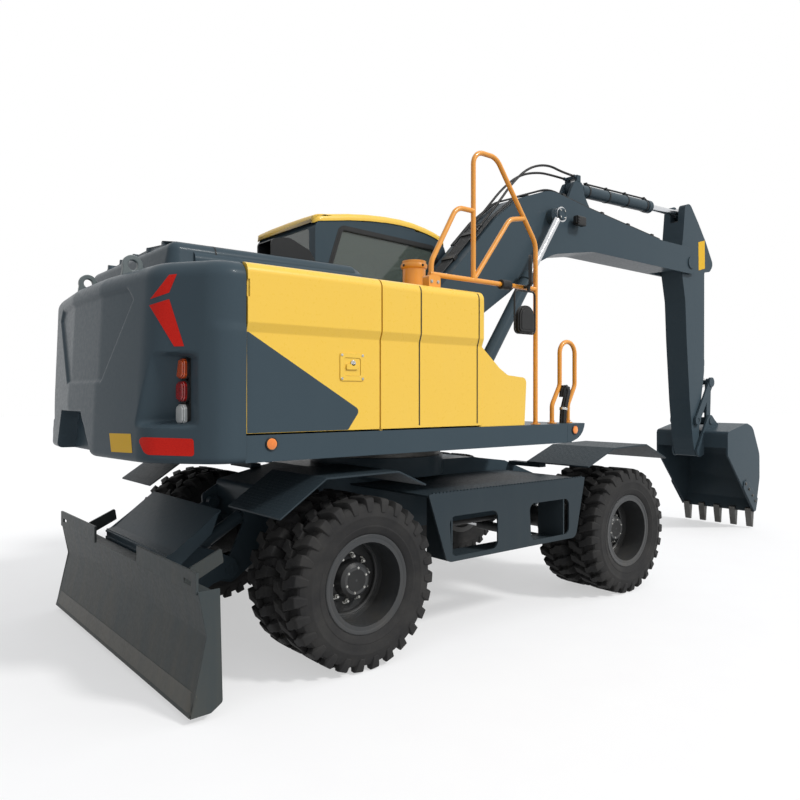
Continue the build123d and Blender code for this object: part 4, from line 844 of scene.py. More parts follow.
seam_low = [row * CW_COLUMNS for row in range(len(casting_rows))]
seam_high = [row * CW_COLUMNS + CW_COLUMNS - 1 for row in reversed(range(len(casting_rows)))]
faces.append(tuple(seam_low + seam_high))
casting.add(casting_points, faces)
counterweight = piece("counterweight_casting", casting, "upper", DARK, True, 0.0, 50)
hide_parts("counterweight")

# Lifting eyes with a wide flat foot

EYE_X = -1085
EYE_Z = 2352
eyes = Shape()
for side in (-1, 1):
    y = side * 430 - 15
    rim = []
    for x, z in circle(40, 58):
        if z < -20:
            x, z = x * 1.25, -75
        rim.append(at(EYE_X + x, y, EYE_Z + z))
    hole = [at(EYE_X + x, y, EYE_Z + z) for x, z in circle(40, 28)]
    loop(eyes, rim, hole, (0, 0.030, 0))
piece("lifting_eyes", eyes, "upper", EYE, True, 0.004)

# Tail lamps in the pockets

TAIL_LAMPS = [("amber", 1746, AMBER), ("red", 1628, RED_LENS), ("clear", 1510, CLEAR)]
LAMP_YS = (-993, 993)
surrounds = Shape()
for name, z, material in TAIL_LAMPS:
    lamp = Shape()
    for y in LAMP_YS:
        rows = rectangle(y - 50, y + 50, z - 52, z + 52, 32)
        for inset, low, high in ((0, 1, 32), (7, 32, 40)):
            lamp.prism(across_x(LAMP_WALL - low, rows, inset), (-(high - low) / 1000, 0, 0))
        outer = across_x(LAMP_WALL - 0.4, rows, -7)
        loop(surrounds, outer, across_x(LAMP_WALL - 0.4, rows, -0.4), (-0.016, 0, 0))
    piece("tail_lamp_" + name, lamp, "upper", material, True, 0.004, 50)
for y in LAMP_YS:
    rows = rectangle(y - 60, y + 60, 1446, 1810, 16)
    surrounds.prism(across_x(LAMP_WALL + 0.4, rows), (-0.003, 0, 0))
piece("tail_lamp_surrounds", surrounds, "upper", PLASTIC, True)

# Hood over the engine, with pressed ribs

HUMP_RIGHT = -604
HUMP_LEFT = 960
HUMP_PLAN = [(-948, HUMP_RIGHT, 90), (426, HUMP_RIGHT, 60), (426, HUMP_LEFT, 90), (-948, HUMP_LEFT, 90)]
# rows of (inset from the plan, z)
hump_steps = [(0, 2302), (30, 2440)]
for step in range(1, 9):
    angle = math.pi / 2 * step / 8
    hump_steps.append((30 + 62 * (1 - math.cos(angle)), 2440 + 64 * math.sin(angle)))
hump = Shape()
hump_points = []
for inset, z in hump_steps:
    for x, y in rounded(grown(HUMP_PLAN, -inset), 12):
        hump_points.append(at(x, y, z))
ring = len(rounded(HUMP_PLAN, 12))
faces = [tuple(range((len(hump_steps) - 1) * ring, len(hump_steps) * ring))]
hump.add(hump_points, faces + grid_faces(len(hump_steps), ring, True))
RIB_Z = 2503
# y from a rib's middle, and height
RIB_ROW = [(-62, 0), (-52, 10), (-38, 24), (-20, 32), (0, 35), (20, 32), (38, 24), (52, 10), (62, 0)]
for y in (-330, -75, 180, 435, 690):
    rear = [at(-872, y + u, RIB_Z) for u, v in RIB_ROW]
    crest = [at(-835 - 1.1 * v, y + u, RIB_Z + v) for u, v in RIB_ROW]
    front = [at(-230, y + u, RIB_Z + v) for u, v in RIB_ROW]
    end = [at(-190, y + u, RIB_Z) for u, v in RIB_ROW]
    hump.add(rear + crest + front + end, grid_faces(4, len(RIB_ROW)))
piece("engine_hood_cover", hump, "upper", DARK, True, 0.0, 40)

seams = Shape()


def seam(shape, points, width, normal_side, depth=0.0016):
    """A thin dark strip along points on a surface: painted shade standing in for the gap between two panels.
    """
    normal_side = Vector(normal_side)
    rows = []
    for index, place in enumerate(points):
        before = points[max(index - 1, 0)]
        after = points[min(index + 1, len(points) - 1)]
        across = (after - before).normalized().cross(normal_side).normalized() * (width / 2)
        rows.append((place - across, place + across))
    flat = []
    for first, second in rows:
        flat.append(first + normal_side * depth)
        flat.append(second + normal_side * depth)
    faces = [(2 * i, 2 * i + 1, 2 * i + 3, 2 * i + 2) for i in range(len(rows) - 1)]
    shape.add(flat, faces)


def flank_line(node, x, z_start, z_end, side, steps=60):
    """Points up a node's flank at one x."""
    line = []
    for step in range(steps + 1):
        z = z_start + (z_end - z_start) * step / steps
        line.append(beside(node, x, z, side)[0])
    return line


# strips of painted shade for the gaps beside the hood's cover
for side in (-1, 1):
    hump_line = []
    for inset, z in hump_steps:
        y = HUMP_RIGHT + inset if side < 0 else HUMP_LEFT - inset
        hump_line.append(at(-640, y, z))
    seam(seams, hump_line, 0.009, (0, side, 0.15))
piece("hood_seams", seams, "upper", GAP_SHADE)

# Handrails and mirrors of bent pipe

RAIL_PIPE = 0.017
rails = Shape()


def bent(rows, steps=9):
    """Points along straight runs with bends, from rows of (x, y, z, bend radius) in millimetres."""
    places = [Vector(row[:3]) for row in rows]
    line = [at(*places[0])]
    for index in range(1, len(rows) - 1):
        arc = corner_arc(*places[index - 1:index + 2], rows[index][3], steps)
        line += [at(*place) for place in arc]
    line.append(at(*places[-1]))
    return line


def rail(rows, y, radius=RAIL_PIPE):
    rails.add(*tube_points(bent([(x, y, z, bend) for x, z, bend in rows]), radius, 20))


FRAME_TOP = 1400
RAIL_Y = -1150
LOOP_Y = -1090
RAIL_FEET = ((1580, RAIL_Y), (1843, LOOP_Y), (2035, LOOP_Y))
BAR_Z = 2385
rail([(1580, FRAME_TOP, 0), (1580, 2715, 160), (1163, 3256, 120), (940, 3256, 90), (940, BAR_Z, 0)], RAIL_Y)
rail([(560, 2300, 0), (560, 2465, 120), (785, 2850, 100), (940, 2850, 0)], RAIL_Y)
rail([(940, BAR_Z, 0), (1300, 2850, 110), (1455, 2880, 0)], RAIL_Y)
rail([(545, BAR_Z, 0), (1580, BAR_Z, 0)], RAIL_Y)
rail([
    (1843, FRAME_TOP, 0), (1843, 1540, 80), (1935, 1690, 80), (1935, 2026, 90), (2120, 2026, 90),
    (2120, 1690, 80), (2035, 1540, 80), (2035, FRAME_TOP, 0),
], LOOP_Y)
flange = [(0, 0.036), (0.007, 0.036), (0.008, 0.020), (0.016, 0.0175)]
for x, y in RAIL_FEET:
    rails.turned(at(x, y, FRAME_TOP), (0, 0, 1), flange, 32)
plate = [(522, 2300, 6), (622, 2300, 6), (622, 2376, 18), (522, 2376, 18)]
rails.prism(across_y(-1172, plate), (0, 0.062, 0))
handrails = piece("handrails_bent", rails, "upper", RAIL, True, 0.0, 40)
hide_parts("handrails")
rail_bolts = Shape()
for x, y in RAIL_FEET:
    for angle in (0.5, 2.6, 4.7):
        place = at(x + 27 * math.cos(angle), y + 27 * math.sin(angle), FRAME_TOP + 16)
        rail_bolts.bolt(place, (0, 0, 1), 0.005, 0.005)
for x in (545, 600):
    rail_bolts.bolt(at(x, -1172, 2335), (0, -1, 0), 0.009, 0.007)
piece("rail_bolts", rail_bolts, "upper", NUT)

mirrors = Shape()
MIRROR_Y = -1205
frame_rows = [(1284, 2042, 40), (1284, 2356, 40), (1514, 2356, 40), (1514, 2042, 40)]
middle = rounded(grown(frame_rows, -7), 8)
mirror_line = [at(x, MIRROR_Y, z) for x, z in middle]
mirrors.add(*tube_points(mirror_line + mirror_line[:2], 0.007, 10))
case_rows = [(1304, 2050, 36), (1304, 2244, 80), (1476, 2244, 80), (1476, 2050, 36)]
for inset, low, high in ((0, 4, -22), (10, -22, -31), (26, -31, -35)):
    corners = across_y(MIRROR_Y + low, case_rows, inset, 8)
    mirrors.prism(corners, (0, (high - low) / 1000, 0))
mirrors.add(*tube_points([at(1440, MIRROR_Y, 2344), at(1440, MIRROR_Y, 2399)], 0.012, 14))
mirrors.add(*tube_points([at(1440, MIRROR_Y - 10, BAR_Z), at(1440, RAIL_Y - 10, BAR_Z)], 0.012, 14))
sleeve = [(0, 0.0176), (0, 0.034), (0.09, 0.034), (0.09, 0.0176)]
mirrors.turned(at(1206, RAIL_Y, BAR_Z), (1, 0, 0), sleeve, 28)
leaf_side = Vector((0.77, 0.63, 0))
leaf_thick = Vector((0.632, -0.775, 0)) * 0.024
leaf_rows = [(-72, 2392, 40), (72, 2392, 40), (72, 2608, 70), (-72, 2608, 70)]
leaf = [at(1440, MIRROR_Y, z) + leaf_side * (u / 1000) for u, z in rounded(leaf_rows, 8)]
mirrors.prism(leaf, leaf_thick)
left_rows = rectangle(1048, 1232, 2380, 2690, 40)
for inset, low, high in ((0, 2208, 2236), (14, 2236, 2246), (34, 2246, 2250)):
    mirrors.prism(across_x(low, left_rows, inset, 8), ((high - low) / 1000, 0, 0))
left_arm = bent([(2150, 1176, 2180, 0), (2228, 1176, 2180, 26), (2228, 1176, 2420, 0)])
mirrors.add(*tube_points(left_arm, 0.012, 14))
mirror_piece = piece("mirror_cases", mirrors, "upper", PLASTIC, True, 0.003)
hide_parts("mirrors")
mirror_glasses = Shape()
rows = [(1310, 2056, 30), (1310, 2238, 74), (1470, 2238, 74), (1470, 2056, 30)]
mirror_glasses.prism(across_y(MIRROR_Y + 4.1, rows), (0, 0.0015, 0))
rows = rectangle(1056, 1224, 2388, 2682, 34)
mirror_glasses.prism(across_x(2207.9, rows), (-0.0015, 0, 0))
piece("mirror_glasses", mirror_glasses, "upper", MIRROR)

# Pipes and clamps along the boom

BOOM_Y = -100


def on_line(start, end, distance, height):
    """The (x, z) point at a distance along a line and a height to its left."""
    along = (Vector(end) - Vector(start)).normalized()
    left = Vector((-along.y, along.x))
    return Vector(start) + along * distance + left * height


def pipe_clamp(shape, start, end, distance, y_low, y_high, height, half=22):
    """A block across pipes, seated on a line of the boom."""
    corners = []
    for reach, lift in ((-half, 0), (half, 0), (half, height), (-half, height)):
        x, z = on_line(start, end, distance + reach, lift)
        corners.append(at(x, y_low, z))
    shape.prism(corners, (0, (y_high - y_low) / 1000, 0))


BACK_LOW = (1000, 2040)
BACK_HIGH = (2099, 3154)
pipes = Shape()
clamps = Shape()
for index in range(5):
    y = BOOM_Y + (index - 2) * 30
    start = on_line(BACK_LOW, BACK_HIGH, 560, 17)
    end = on_line(BACK_LOW, BACK_HIGH, 1480, 17)
    pipes.add(*tube_points([at(start.x, y, start.y), at(end.x, y, end.y)], 0.010, 16))
    for distance in (1466, 1400):
        nut = on_line(BACK_LOW, BACK_HIGH, distance, 17)
        along = (Vector(BACK_HIGH) - Vector(BACK_LOW)).normalized()
        nut_rows = [(0, 0.010), (0, 0.014), (0.022, 0.014), (0.022, 0.010)]
        pipes.turned(at(nut.x, y, nut.y), (along.x, 0, along.y), nut_rows, 6)
for distance in (640, 1020, 1360):
    pipe_clamp(clamps, BACK_LOW, BACK_HIGH, distance, BOOM_Y - 78, BOOM_Y + 78, 34, 25)
TOP_LINE = [
    (*on_line(BACK_LOW, BACK_HIGH, 1240, 0), 0), (2099, 3154, 400), (2408, 3386, 400),
    (2846, 3540, 500), (3504, 3458, 800), (4760, 3334, 0),
]


def lifted(rows, height):
    """Rows of (x, z, radius) moved square to the line by a height."""
    done = []
    for index, (x, z, radius) in enumerate(rows):
        left = Vector((0, 0))
        for first in (max(index - 1, 0), min(index, len(rows) - 2)):
            along = (Vector(rows[first + 1][:2]) - Vector(rows[first][:2])).normalized()
            left += Vector((-along.y, along.x))
        left.normalize()
        done.append((x + left.x * height, z + left.y * height, radius + height))
    return done


for side in (-1, 1):
    for offset in (138, 112):
        y = BOOM_Y + side * offset
        rows = [(x, y, z, radius) for x, z, radius in lifted(TOP_LINE, 17)]
        pipes.add(*tube_points(bent(rows), 0.009, 14))
    for first, distance in ((3, 220), (4, 180), (4, 640), (4, 1100)):
        start = TOP_LINE[first][:2]
        end = TOP_LINE[first + 1][:2]
        y = BOOM_Y + side * 125
        pipe_clamp(clamps, start, end, distance, y - 34, y + 34, 31)
pipe_piece = piece("boom_hard_pipes", pipes, "boom_body", BLACK, True, 0.0, 40)
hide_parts("boom_pipes")
piece("boom_pipe_clamps", clamps, "boom_body", PLASTIC, False, 0.003)

# A bracket over the arm cylinder's foot, where the hoses end
HOSE_END_Z = 3790
bridge = Shape()
for y in (BOOM_Y - 76, BOOM_Y + 46):
    bridge.prism(across_y(y, rectangle(3370, 3430, 3738, 3776, 0)), (0, 0.030, 0))
bridge.prism(across_y(BOOM_Y - 76, rectangle(3370, 3430, 3772, 3808, 0)), (0, 0.152, 0))
hose_nut = [(0, 0.011), (0, 0.017), (0.03, 0.017), (0.03, 0.011)]
for y in (BOOM_Y - 60, BOOM_Y + 60):
    bridge.turned(at(3364, y, HOSE_END_Z), (-1, 0, 0), hose_nut, 6)
piece("hose_bracket", bridge, "boom_body", DARK, False, 0.003)

ARM_CYL_BASE = (3400, 3685)
ARM_CYL_PIN = (5440, 3760)
cylinder_pipe = Shape()
start = on_line(ARM_CYL_BASE, ARM_CYL_PIN, 190, 82)
end = on_line(ARM_CYL_BASE, ARM_CYL_PIN, 1300, 82)
down = on_line(ARM_CYL_BASE, ARM_CYL_PIN, 1330, 50)
line = bent([
    (start.x, BOOM_Y, start.y, 0), (end.x + 28, BOOM_Y, end.y, 22), (down.x, BOOM_Y, down.y, 0),
])
cylinder_pipe.add(*tube_points(line, 0.009, 14))
for distance in (215, 560, 900, 1270):
    along = Vector(ARM_CYL_PIN) - Vector(ARM_CYL_BASE)
    along.normalize()
    middle = on_line(ARM_CYL_BASE, ARM_CYL_PIN, distance, 0)
    band = [(-0.011, 0.0622), (-0.011, 0.066), (0.011, 0.066), (0.011, 0.0622)]
    cylinder_pipe.turned(at(middle.x, BOOM_Y, middle.y), (along.x, 0, along.y), band, 40)
    pipe_clamp(
        cylinder_pipe, ARM_CYL_BASE, ARM_CYL_PIN, distance, BOOM_Y - 16, BOOM_Y + 16, 94, 11)
piece("arm_cylinder_pipe", cylinder_pipe, "arm_barrel", BLACK, True, 0.0, 40)

# Covers of the boom cylinders' upper pins

CAP_X = 2850
CAP_Z = 3285
caps = Shape()
bolts = Shape()
for side in (-1, 1):
    y = BOOM_Y + side * 298
    cap_rows = [
        (0, 0.056), (0.010, 0.056), (0.014, 0.052), (0.014, 0.034), (0.011, 0.031), (0.011, 0.0001),
    ]
    caps.turned(at(CAP_X, y, CAP_Z), (0, side, 0), cap_rows, 48)
    for x, z in circle(4, 43, math.pi / 4):
        bolts.bolt(at(CAP_X + x, y + side * 13, CAP_Z + z), (0, side, 0), 0.006, 0.005)
piece("boom_pin_caps", caps, "boom_body", DARK, True, 0.0, 40)
piece("boom_pin_bolts", bolts, "boom_body", NUT)

# Work lamp on the boom's right side

lamp = Shape()
for low, high, inset in ((3134, 3146, 12), (3146, 3262, 0), (3262, 3274, 3)):
    rows = rectangle(-360, -300, 3245, 3335, 14)
    lamp.prism(across_x(low, rows, inset), ((high - low) / 1000, 0, 0))
for z in (3262, 3290, 3318):
    lamp.prism(across_y(-366, rectangle(3150, 3172, z - 5, z + 5, 0)), (0, 0.010, 0))
lamp.prism(across_y(-300, rectangle(3190, 3222, 3268, 3312, 0)), (0, 0.0297, 0))
piece("work_lamp", lamp, "boom_body", PLASTIC, True, 0.002, 40)
lamp_lens = Shape()
lamp_lens.prism(across_x(3274.2, rectangle(-354, -306, 3251, 3329, 12)), (0.003, 0, 0))
piece("work_lamp_lens", lamp_lens, "boom_body", CLEAR, False, 0.001)

# Cutters on the bucket's sides, with their bolts

cutter_rows = [
    (6346, 205, 6), (6066, 512, 20), (6085, 590, 10), (6170, 610, 14), (6440, 360, 10), (6388, 214, 6),
]
CUTTER = 14
cutters = Shape()
cutter_bolts = Shape()
for side in (-1, 1):
    face = beside("bucket", 6150, 560, side)[0].y * 1000
    cutters.prism(across_y(face, cutter_rows), (0, side * CUTTER / 1000, 0))
    for x, z in ((6120, 560), (6205, 490), (6290, 410), (6365, 335)):
        cutter_bolts.bolt(at(x, face + side * CUTTER, z), (0, side, 0), 0.015, 0.012)
piece("bucket_side_cutters", cutters, "bucket_body", DARK, False, 0.004)
piece("bucket_cutter_bolts", cutter_bolts, "bucket_body", WORN)

# Filler neck beside the handrail, stepped, with a bolted lid

FILLER_X = 757
FILLER_Y = -750
filler = Shape()
neck_rows = [
    (0, 0.0805), (0.19, 0.0805), (0.196, 0.090), (0.206, 0.093), (0.220, 0.093), (0.226, 0.089),
    (0.226, 0.084), (0.246, 0.084), (0.2475, 0.080), (0.2475, 0.0001),
]
filler.turned(at(FILLER_X, FILLER_Y, 2300.3), (0, 0, 1), neck_rows, 64)
filler_piece = piece("filler_neck", filler, "upper", RAIL, True, 0.0, 35)
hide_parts("filter_housing")
filler_bolts = Shape()
for x, y in circle(6, 66, 0.3):
    filler_bolts.bolt(at(FILLER_X + x, FILLER_Y + y, 2547.5), (0, 0, 1), 0.008, 0.008)
for x, y in circle(4, 93):
    filler_bolts.bolt(at(FILLER_X + x, FILLER_Y + y, 2510), (x, y, 0), 0.007, 0.006)
piece("filler_bolts", filler_bolts, "upper", PLASTIC)

# Steering wheel on its column

CAB_Y = 730
CAB_MIDDLE_X = 1275
wheel = Shape()
column_foot = at(1910, CAB_Y, 1455)
column_top = at(1700, CAB_Y, 2130)
wheel.add(*tube_points([column_foot, column_foot.lerp(column_top, 0.6), column_top], 0.030, 20))
along = (column_top - column_foot).normalized()
across = along.orthogonal().normalized()
other = along.cross(across)
rim_line = [column_top + across * u + other * v for u, v in circle(48, 0.175)]
wheel.add(*tube_points(rim_line + rim_line[:1], 0.014, 12))
for turn in (0.5, 2.6, 4.7):
    out = across * math.cos(turn) + other * math.sin(turn)
    wheel.add(*tube_points([column_top, column_top + out * 0.09, column_top + out * 0.172], 0.010, 10))
wheel.turned(column_top, along, [(-0.02, 0.046), (0.014, 0.044), (0.022, 0.030), (0.024, 0.0001)], 24)
piece("steering_wheel", wheel, "upper", PLASTIC, True, 0.0, 40)

# Arched roof of the cab, rounded down at its edges, with a dark strip under its band

ROOF_LINE = [
    (570, 2995), (571, 3022), (580, 3044), (605, 3058), (650, 3066), (750, 3082), (900, 3108),
    (1100, 3133), (1300, 3147), (1450, 3150), (1600, 3142), (1750, 3119), (1850, 3096), (1920, 3073),
    (1955, 3052), (1975, 3022), (1978, 2992),
]


ROOF_HALF = 487
ROOF_BAND = 60
ROOF_LOW_Z = 2984
ROOF_UNDER_Z = 3061
ROOF_WALL = 7
# x where the roof's corners start, in plan, and their radius, at the rear and the front
ROOF_REAR_CORNER = (614, 44)
ROOF_FRONT_CORNER = (1940, 40)


def roof_section(x, top):
    """One cross-section of the roof's shell, as a closed ring of points."""
    low = min(max(top - ROOF_BAND, ROOF_LOW_Z), top - 6)
    under = min(max(low + 1, ROOF_UNDER_Z), top - 4)
    half = ROOF_HALF
    for corner_x, radius in (ROOF_REAR_CORNER, ROOF_FRONT_CORNER):
        past = corner_x - x if corner_x < CAB_MIDDLE_X else x - corner_x
        if past > 0:
            half -= radius - math.sqrt(max(radius ** 2 - past ** 2, 0))
    drop = min(40, top - low - 2)
    right = [
        (-half, low), (-half, top - drop), (-half + 5, top - drop * 0.55), (-half + 16, top - drop * 0.22),
        (-half + 36, top), (-half * 0.5, top + 7),
    ]
    ring = right + [(0, top + 9)] + [(-y, z) for y, z in reversed(right)]
    inside = half - ROOF_WALL
    ring += [(inside, low), (inside, under), (-inside, under), (-inside, low)]
    return [at(x, CAB_Y + y, z) for y, z in ring]


roof = Shape()
sections = [roof_section(x, top) for x, top in ROOF_LINE]
count = len(sections[0])
ring_faces = grid_faces(len(sections), count, True)
ring_faces.append(tuple(range(count)))
ring_faces.append(tuple(range((len(sections) - 1) * count, len(sections) * count)))
roof.add([point for section in sections for point in section], ring_faces)
roof_piece = piece("cab_roof_arched", roof, "upper", YELLOW, True, 0.0, 50)
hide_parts("cab_roof")

roof_strip = Shape()
STRIP_LOW_Z = 3060.3
strip_line = [(x, top - 58) for x, top in ROOF_LINE if top - 58 > STRIP_LOW_Z + 1.7]
strip_rows = [(strip_line[0][0] - 30, STRIP_LOW_Z)] + strip_line + [(strip_line[-1][0] + 30, STRIP_LOW_Z)]
roof_strip.prism([at(x, 250.4, z) for x, z in strip_rows], (0, 0.959, 0))
piece("cab_roof_strip", roof_strip, "upper", DARK)

# Rounded nose of the frame, with the strapped hoses behind it

nose = Shape()
nose_rows = [
    (1860, 1258), (1930, 1266), (1984, 1283), (2026, 1308), (2056, 1342), (2072, 1378), (2077, 1401),
    (1860, 1401),
]
NOSE_Y = -1222
nose.prism([at(x, NOSE_Y, z) for x, z in nose_rows], (0, 0.160, 0))
piece("frame_nose", nose, "upper", DARK, False, 0.006)

BUNDLE_Y = -1130
bundle = Shape()
for index, (dx, dy) in enumerate(circle(6, 17)):
    rows = [
        (1922 + dx, BUNDLE_Y + dy, 1398, 0), (1930 + dx, BUNDLE_Y + dy, 1500, 60),
        (1968 + dx, BUNDLE_Y + dy, 1590 + 5 * index, 50),
        (1994 + dx, BUNDLE_Y + 6 + dy, 1690 - 5 * index, 34),
        (1950 + dx, BUNDLE_Y + 14 + dy, 1680, 26), (1952 + dx, BUNDLE_Y + 26 + dy, 1600, 0),
    ]
    bundle.add(*tube_points(bent(rows), 0.010, 10))
bundle_strap = Shape()
strap = [(0, 0.020), (0, 0.031), (0.018, 0.031), (0.018, 0.020)]
bundle_strap.turned(at(1929, BUNDLE_Y, 1500), (0.2, 0, 1), strap, 28)
piece("hose_bundle", bundle, "upper", PLASTIC, True, 0.0, 60)
piece("hose_bundle_strap", bundle_strap, "upper", NUT, True)

# Teeth along the treads of the side steps

# count, first x, pitch, y and top z of each row of teeth
TOOTH_ROWS = [(50, 540, 31, 1188, 992), (32, 740, 34, 1170, 552)]
teeth = Shape()
for side in (-1, 1):
    for count, first_x, pitch, y, top in TOOTH_ROWS:
        for index in range(count):
            x = first_x + index * pitch
            rows = [(x - 11, top - 8.5), (x - 6, top), (x + 6, top), (x + 11, top - 8.5)]
            teeth.prism([at(u, side * y, z) for u, z in rows], (0, side * 0.012, 0))
piece("step_teeth", teeth, "chassis", DARK_TREAD)

# Signs and stripes, blank, laid on the surface that carries them

def sticker(name, outline_rows, node, body, material, step, mirrored=False):
    """A thin film whose outline is given in the photograph's pixels, laid on a CAD node."""
    tree = surface(node)
    flat = bmesh.new()
    corners = [flat.verts.new((u, v, 0)) for u, v in rounded(outline_rows)]
    flat.faces.new(corners)
    low = min(row[0] for row in outline_rows)
    high = max(row[0] for row in outline_rows)
    bottom = min(row[1] for row in outline_rows)
    top = max(row[1] for row in outline_rows)
    for axis, start, end in (((1, 0, 0), low, high), ((0, 1, 0), bottom, top)):
        place = start + step
        while place < end:
            spot = (place, place, 0)
            everything = flat.verts[:] + flat.edges[:] + flat.faces[:]
            bmesh.ops.bisect_plane(flat, geom=everything, plane_co=spot, plane_no=axis)
            place += step
    shape = Shape()
    points = []
    flat.verts.index_update()
    for vertex in flat.verts:
        ray = pixel_ray(vertex.co.x, vertex.co.y)
        hit, normal, _, _ = tree.ray_cast(CAMERA, ray)
        if normal.dot(ray) > 0:
            normal = -normal
        points.append(hit + normal * 0.0012)
    faces = [tuple(vertex.index for vertex in face.verts) for face in flat.faces]
    shape.add(points, faces)
    if mirrored:
        shape.add([Vector((point.x, -point.y, point.z)) for point in points], faces)
    flat.free()
    return piece(name, shape, body, material, True)


# The outlines are rows of (u, v, radius) in the photograph's 800 by 800 pixels
CHEVRON_TOP = [(150.2, 299.2, 0), (169.2, 274.8, 0), (177.0, 274.0, 0), (169.3, 292.6, 0)]
CHEVRON_LOW = [(149.3, 305.3, 0), (169.3, 299.0, 0), (184.2, 346.2, 0), (174.2, 346.5, 0)]
STRIP = [(137.0, 437.0, 4), (193.6, 438.8, 3), (194.4, 456.4, 3), (145.0, 454.8, 8)]
REAR_PLATE = [(109.4, 433.2, 0.6), (130.9, 433.8, 0.6), (132.4, 453.0, 0.6), (111.4, 451.8, 0.6)]
CUTTING_EDGE = [(61.5, 590.5, 0), (197.0, 696.0, 0), (191.0, 716.0, 0), (58.0, 602.5, 0)]
ARM_PLATE = [(698.3, 242.2, 0), (704.6, 240.6, 0), (704.8, 268.6, 0), (698.6, 270.4, 0)]
casting_node = "counterweight_casting"
sticker("chevron_top", CHEVRON_TOP, casting_node, "upper", RED_FILM, 3.0, True)
sticker("chevron_low", CHEVRON_LOW, casting_node, "upper", RED_FILM, 3.0, True)
sticker("reflector_strip", STRIP, casting_node, "upper", RED_FILM, 3.0, True)
sticker("blank_plate_rear", REAR_PLATE, casting_node, "upper", PLATE, 3.0)
sticker("blade_cutting_edge", CUTTING_EDGE, "blade", "dozer", EDGE, 6.0)
sticker("blank_plate_arm", ARM_PLATE, "arm", "arm_body", PLATE, 3.0)

# The dark sweep on the yellow flank
sweep = Shape()
sweep_rows = [
    (-771, 1935, 0), (-762, 1935, 0), (-53, 1524, 26), (-137, 1412, 4), (-771, 1412, 0),
]
sweep_line = across_y(-1220.9, sweep_rows)
sweep.add(sweep_line, [tuple(range(len(sweep_line)))])
piece("dark_sweep", sweep, "right_door", DARK)

# Hoses over the elbow of the boom

HOSE_ROUTES = {
    "right": (BOOM_Y - 60, [
        (2027.5, 3105.8), (2235, 3320), (2430, 3548), (2665, 3742), (2935, 3822), (3170, HOSE_END_Z),
        (3369.7, HOSE_END_Z),
    ], 1.612),
    "left": (BOOM_Y + 60, [
        (2027.5, 3105.8), (2235, 3320), (2430, 3525.5), (2665, 3697), (2935, 3777), (3170, HOSE_END_Z),
        (3369.7, HOSE_END_Z),
    ], 1.584),
}
for side, (y, route, length) in HOSE_ROUTES.items():
    curve = bpy.data.curves.new("hose_" + side, "CURVE")
    curve.dimensions = "3D"
    curve.bevel_depth = 0.011
    curve.bevel_resolution = 5
    curve.use_fill_caps = True
    spline = curve.splines.new("NURBS")
    spline.points.add(len(route) - 1)
    for point, (x, z) in zip(spline.points, route):
        point.co = (*at(x, y, z), 1.0)
    spline.order_u = 3
    spline.use_endpoint_u = True
    spline.resolution_u = 18
    curve.materials.append(HOSE)
    hose = bpy.data.objects.new("hose_over_elbow_" + side, curve)
    bpy.context.scene.collection.objects.link(hose)
    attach(hose, "boom_body")

# Operator's seat, with sewn cushions


CUSHION_CUTS = 24


def cushion(name, centre, half, crown, channels, across):
    """A crowned pad whose sides pull in between the corners, with sewn channels."""
    made = bmesh.new()
    bmesh.ops.create_cube(made, size=2)
    bmesh.ops.subdivide_edges(made, edges=made.edges[:], cuts=CUSHION_CUTS, use_grid_fill=True)
    for vertex in made.verts:
        u, v, w = vertex.co
        full = (1 - abs(u) ** 4) * (1 - abs(v) ** 4)
        pull_u = 1 - 0.05 * (1 - v ** 2)
        pull_v = 1 - 0.05 * (1 - u ** 2)
        rise = w * (0.62 + 0.38 * full ** 0.4)
        if w > 0.9:
            rise += crown * full
            for channel in channels:
                rise -= 0.20 * math.exp(-((v - channel) / 0.045) ** 2) * full ** 0.3
            rise -= 0.14 * math.exp(-((u - across) / 0.04) ** 2) * full ** 0.3
        edge = 1 - 0.06 * abs(w) ** 3
        vertex.co = Vector((u * pull_u * edge * half[0], v * pull_v * edge * half[1], rise * half[2]))
    mesh = bpy.data.meshes.new(name)
    made.to_mesh(mesh)
    made.free()
    mesh.materials.append(SEAT)
    item = bpy.data.objects.new(name, mesh)
    bpy.context.scene.collection.objects.link(item)
    for polygon in mesh.polygons:
        polygon.use_smooth = True
    finer = item.modifiers.new("finer", "SUBSURF")
    finer.levels = 1
    finer.render_levels = 1
    item.location = centre
    return item


seat_pad = cushion("seat_cushion", at(1150, CAB_Y, 1752), (0.235, 0.235, 0.042), 0.18, (-0.52, 0.52), 0.15)
back_pad = cushion("seat_back", at(912, CAB_Y, 2110), (0.33, 0.225, 0.048), 0.20, (-0.55, 0.55), -0.1)
back_pad.rotation_euler = (0, math.radians(-94), 0)
for pad in (seat_pad, back_pad):
    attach(pad, "upper")

seat_frame = Shape()
for low, high, x_0, x_1, y_0, y_1 in (
    (1452, 1560, 985, 1315, 565, 895),
    (1560, 1690, 960, 1340, 540, 920),
    (1690, 1712, 930, 1375, 505, 955),
):
    corners = [at(x, y, low) for x, y in rounded(rectangle(x_0, x_1, y_0, y_1, 24))]
    seat_frame.prism(corners, (0, 0, (high - low) / 1000))
for side in (-1, 1):
    y = CAB_Y + side * 205
    arm_rows = [(960, 1830, 15), (1270, 1830, 22), (1300, 1900, 22), (1270, 1925, 15), (960, 1925, 15)]
    seat_frame.prism(across_y(y, arm_rows), (0, side * 0.038, 0))
    lever_y = y + side * 19
    stem = [at(1240, lever_y, 1915), at(1245, lever_y, 1985), at(1258, lever_y, 2040)]
    seat_frame.add(*tube_points(stem, 0.009))
    grip = [(0, 0.0001), (0.004, 0.017), (0.03, 0.021), (0.075, 0.019), (0.092, 0.013), (0.096, 0.0001)]
    seat_frame.turned(at(1256, lever_y, 2032), (0.2, 0, 1), grip, 18)
seat_rigid = piece("seat_frame", seat_frame, "upper", PLASTIC, True, 0.003)
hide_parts("seat_and_console")
